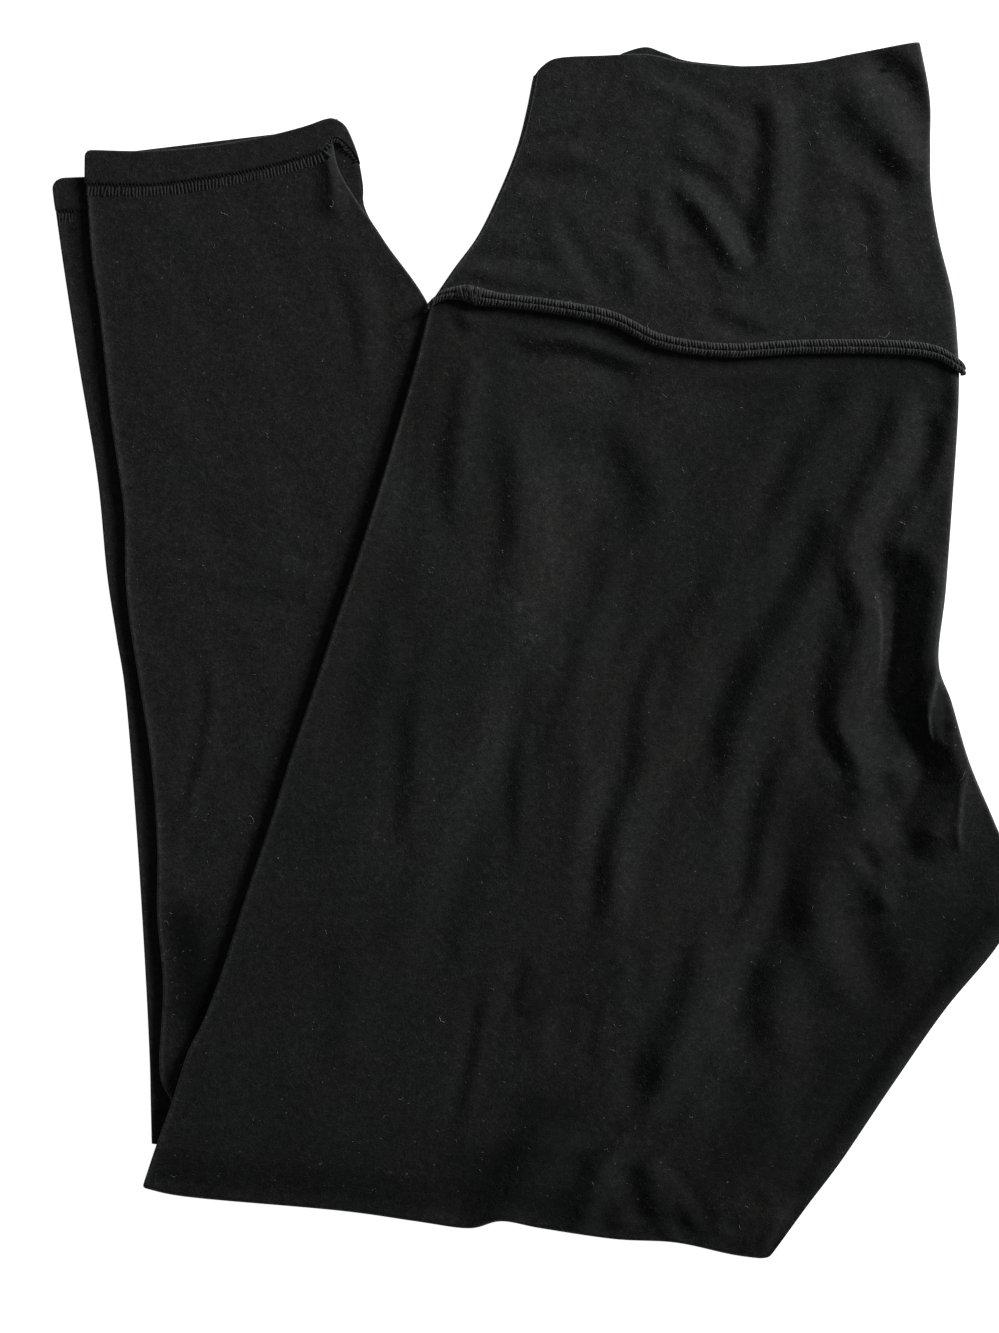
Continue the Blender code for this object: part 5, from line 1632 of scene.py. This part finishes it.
# %% Lint and loose fibres
HAIR_STEPS = 8
HAIR_FACES = [(3 * i + k, 3 * i + (k + 1) % 3, 3 * i + 3 + (k + 1) % 3, 3 * i + 3 + k)
              for i in range(HAIR_STEPS) for k in range(3)]


def hairs(rng, long, thick):
    """Wandering lines on the flat, three-sided, each about its own start; `long` gives their lengths."""
    count = long.size
    curl = rng.uniform(0.15, 0.6, (count, 1))
    heading = rng.uniform(0, 2 * pi, (count, 1))
    heading = heading + np.cumsum(rng.normal(0.0, 1.0, (count, HAIR_STEPS)), 1) * curl
    heading += rng.normal(0, 1.0, (count, 1)) * curl * np.arange(HAIR_STEPS)
    moves = np.stack([np.cos(heading), np.sin(heading)], axis=-1) * (long / HAIR_STEPS)[:, None, None]
    line = np.concatenate([np.zeros((count, 1, 2)), np.cumsum(moves, axis=1)], axis=1)
    way = np.gradient(line, axis=1)
    side = np.stack([-way[..., 1], way[..., 0]], axis=-1) / np.linalg.norm(way, axis=-1)[..., None]
    arch = 0.10 + 0.25 * np.sin(np.linspace(0.0, pi, HAIR_STEPS + 1)) * rng.uniform(0.0, 1.0, (count, 1))
    turn = 2 * pi * np.arange(3) / 3 + pi / 2
    x_y = line[:, :, None] + side[:, :, None] * (np.cos(turn) * thick)[:, None]
    return stack(x_y, arch[..., None] + np.sin(turn) * thick).reshape(count, -1, 3)


def leg_top(x_y):
    return leg_ground(x_y) + leg_folds(x_y)


def band_top_at(x_y):
    return BAND_TOP + band_folds(x_y)


def lower_top(x_y):
    return FAR_TOP + folds_at(LOWER_FOLDS, x_y)


def laid(shapes, at, top, lift=0.0):
    """Hairs moved to their places, on the cloth's own height."""
    x_y = shapes[..., :2] + at[:, None]
    return stack(x_y, top(x_y) + lift + shapes[..., 2])


def scatter(rng, count, panel, top, low, high):
    """Short hairs over a panel, between two (u, v) corners."""
    long = np.minimum(2.6, 0.35 + rng.exponential(0.6, count))
    at = panel.point(rng.uniform(low[0], high[0], count), rng.uniform(low[1], high[1], count))
    return laid(hairs(rng, long, 0.045), at, top)


def make_lint():
    rng = np.random.default_rng(77)
    groups = [scatter(rng, 420, upper_leg, leg_top, (0.03, 0.03), (0.96, 0.97)),
              scatter(rng, 200, waistband, band_top_at, (0.05, 0.05), (0.95, 0.95)),
              scatter(rng, 200, lower_leg, lower_top, (0.04, 0.10), (0.90, 0.96))]
    for top, lift, places in (
            (leg_top, 0.0, ((152, 55), (158, 60), (180, -50), (-44, 33), (-40, -152))),
            (band_top_at, 0.0, ((138, 168), (20, 190))),
            (band_top_at, 2.2, ((47, 138.5), (143, 132.5), (154, 131))),
            (lower_top, 0.0, ((-121, -72), (-148, 203.5), (-133, 185), (-86, 190)))):
        at = np.array(places, float)
        groups.append(laid(hairs(rng, rng.uniform(3.0, 6.0, len(at)), 0.07), at, top, lift))
    lint = joined("lint", np.concatenate(groups), HAIR_FACES)
    dress(lint, LINT)
    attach(lint, "root")
    report(lint)


make_lint()

# %% [markdown]
# ## The cut, and the sizes
# A sheet that lies folded still has a cut: the width, length and area of its cloth, measured along the
# grid over every fold and round.

# %% State each sheet's cut
declare(near_leg, near_leg_points)
declare(band_top, band_points)
declare(band_under, band_under_points)
declare(far_top, far_top_points)
declare(far_under, far_under_points)
declare(lowest, lowest_points)
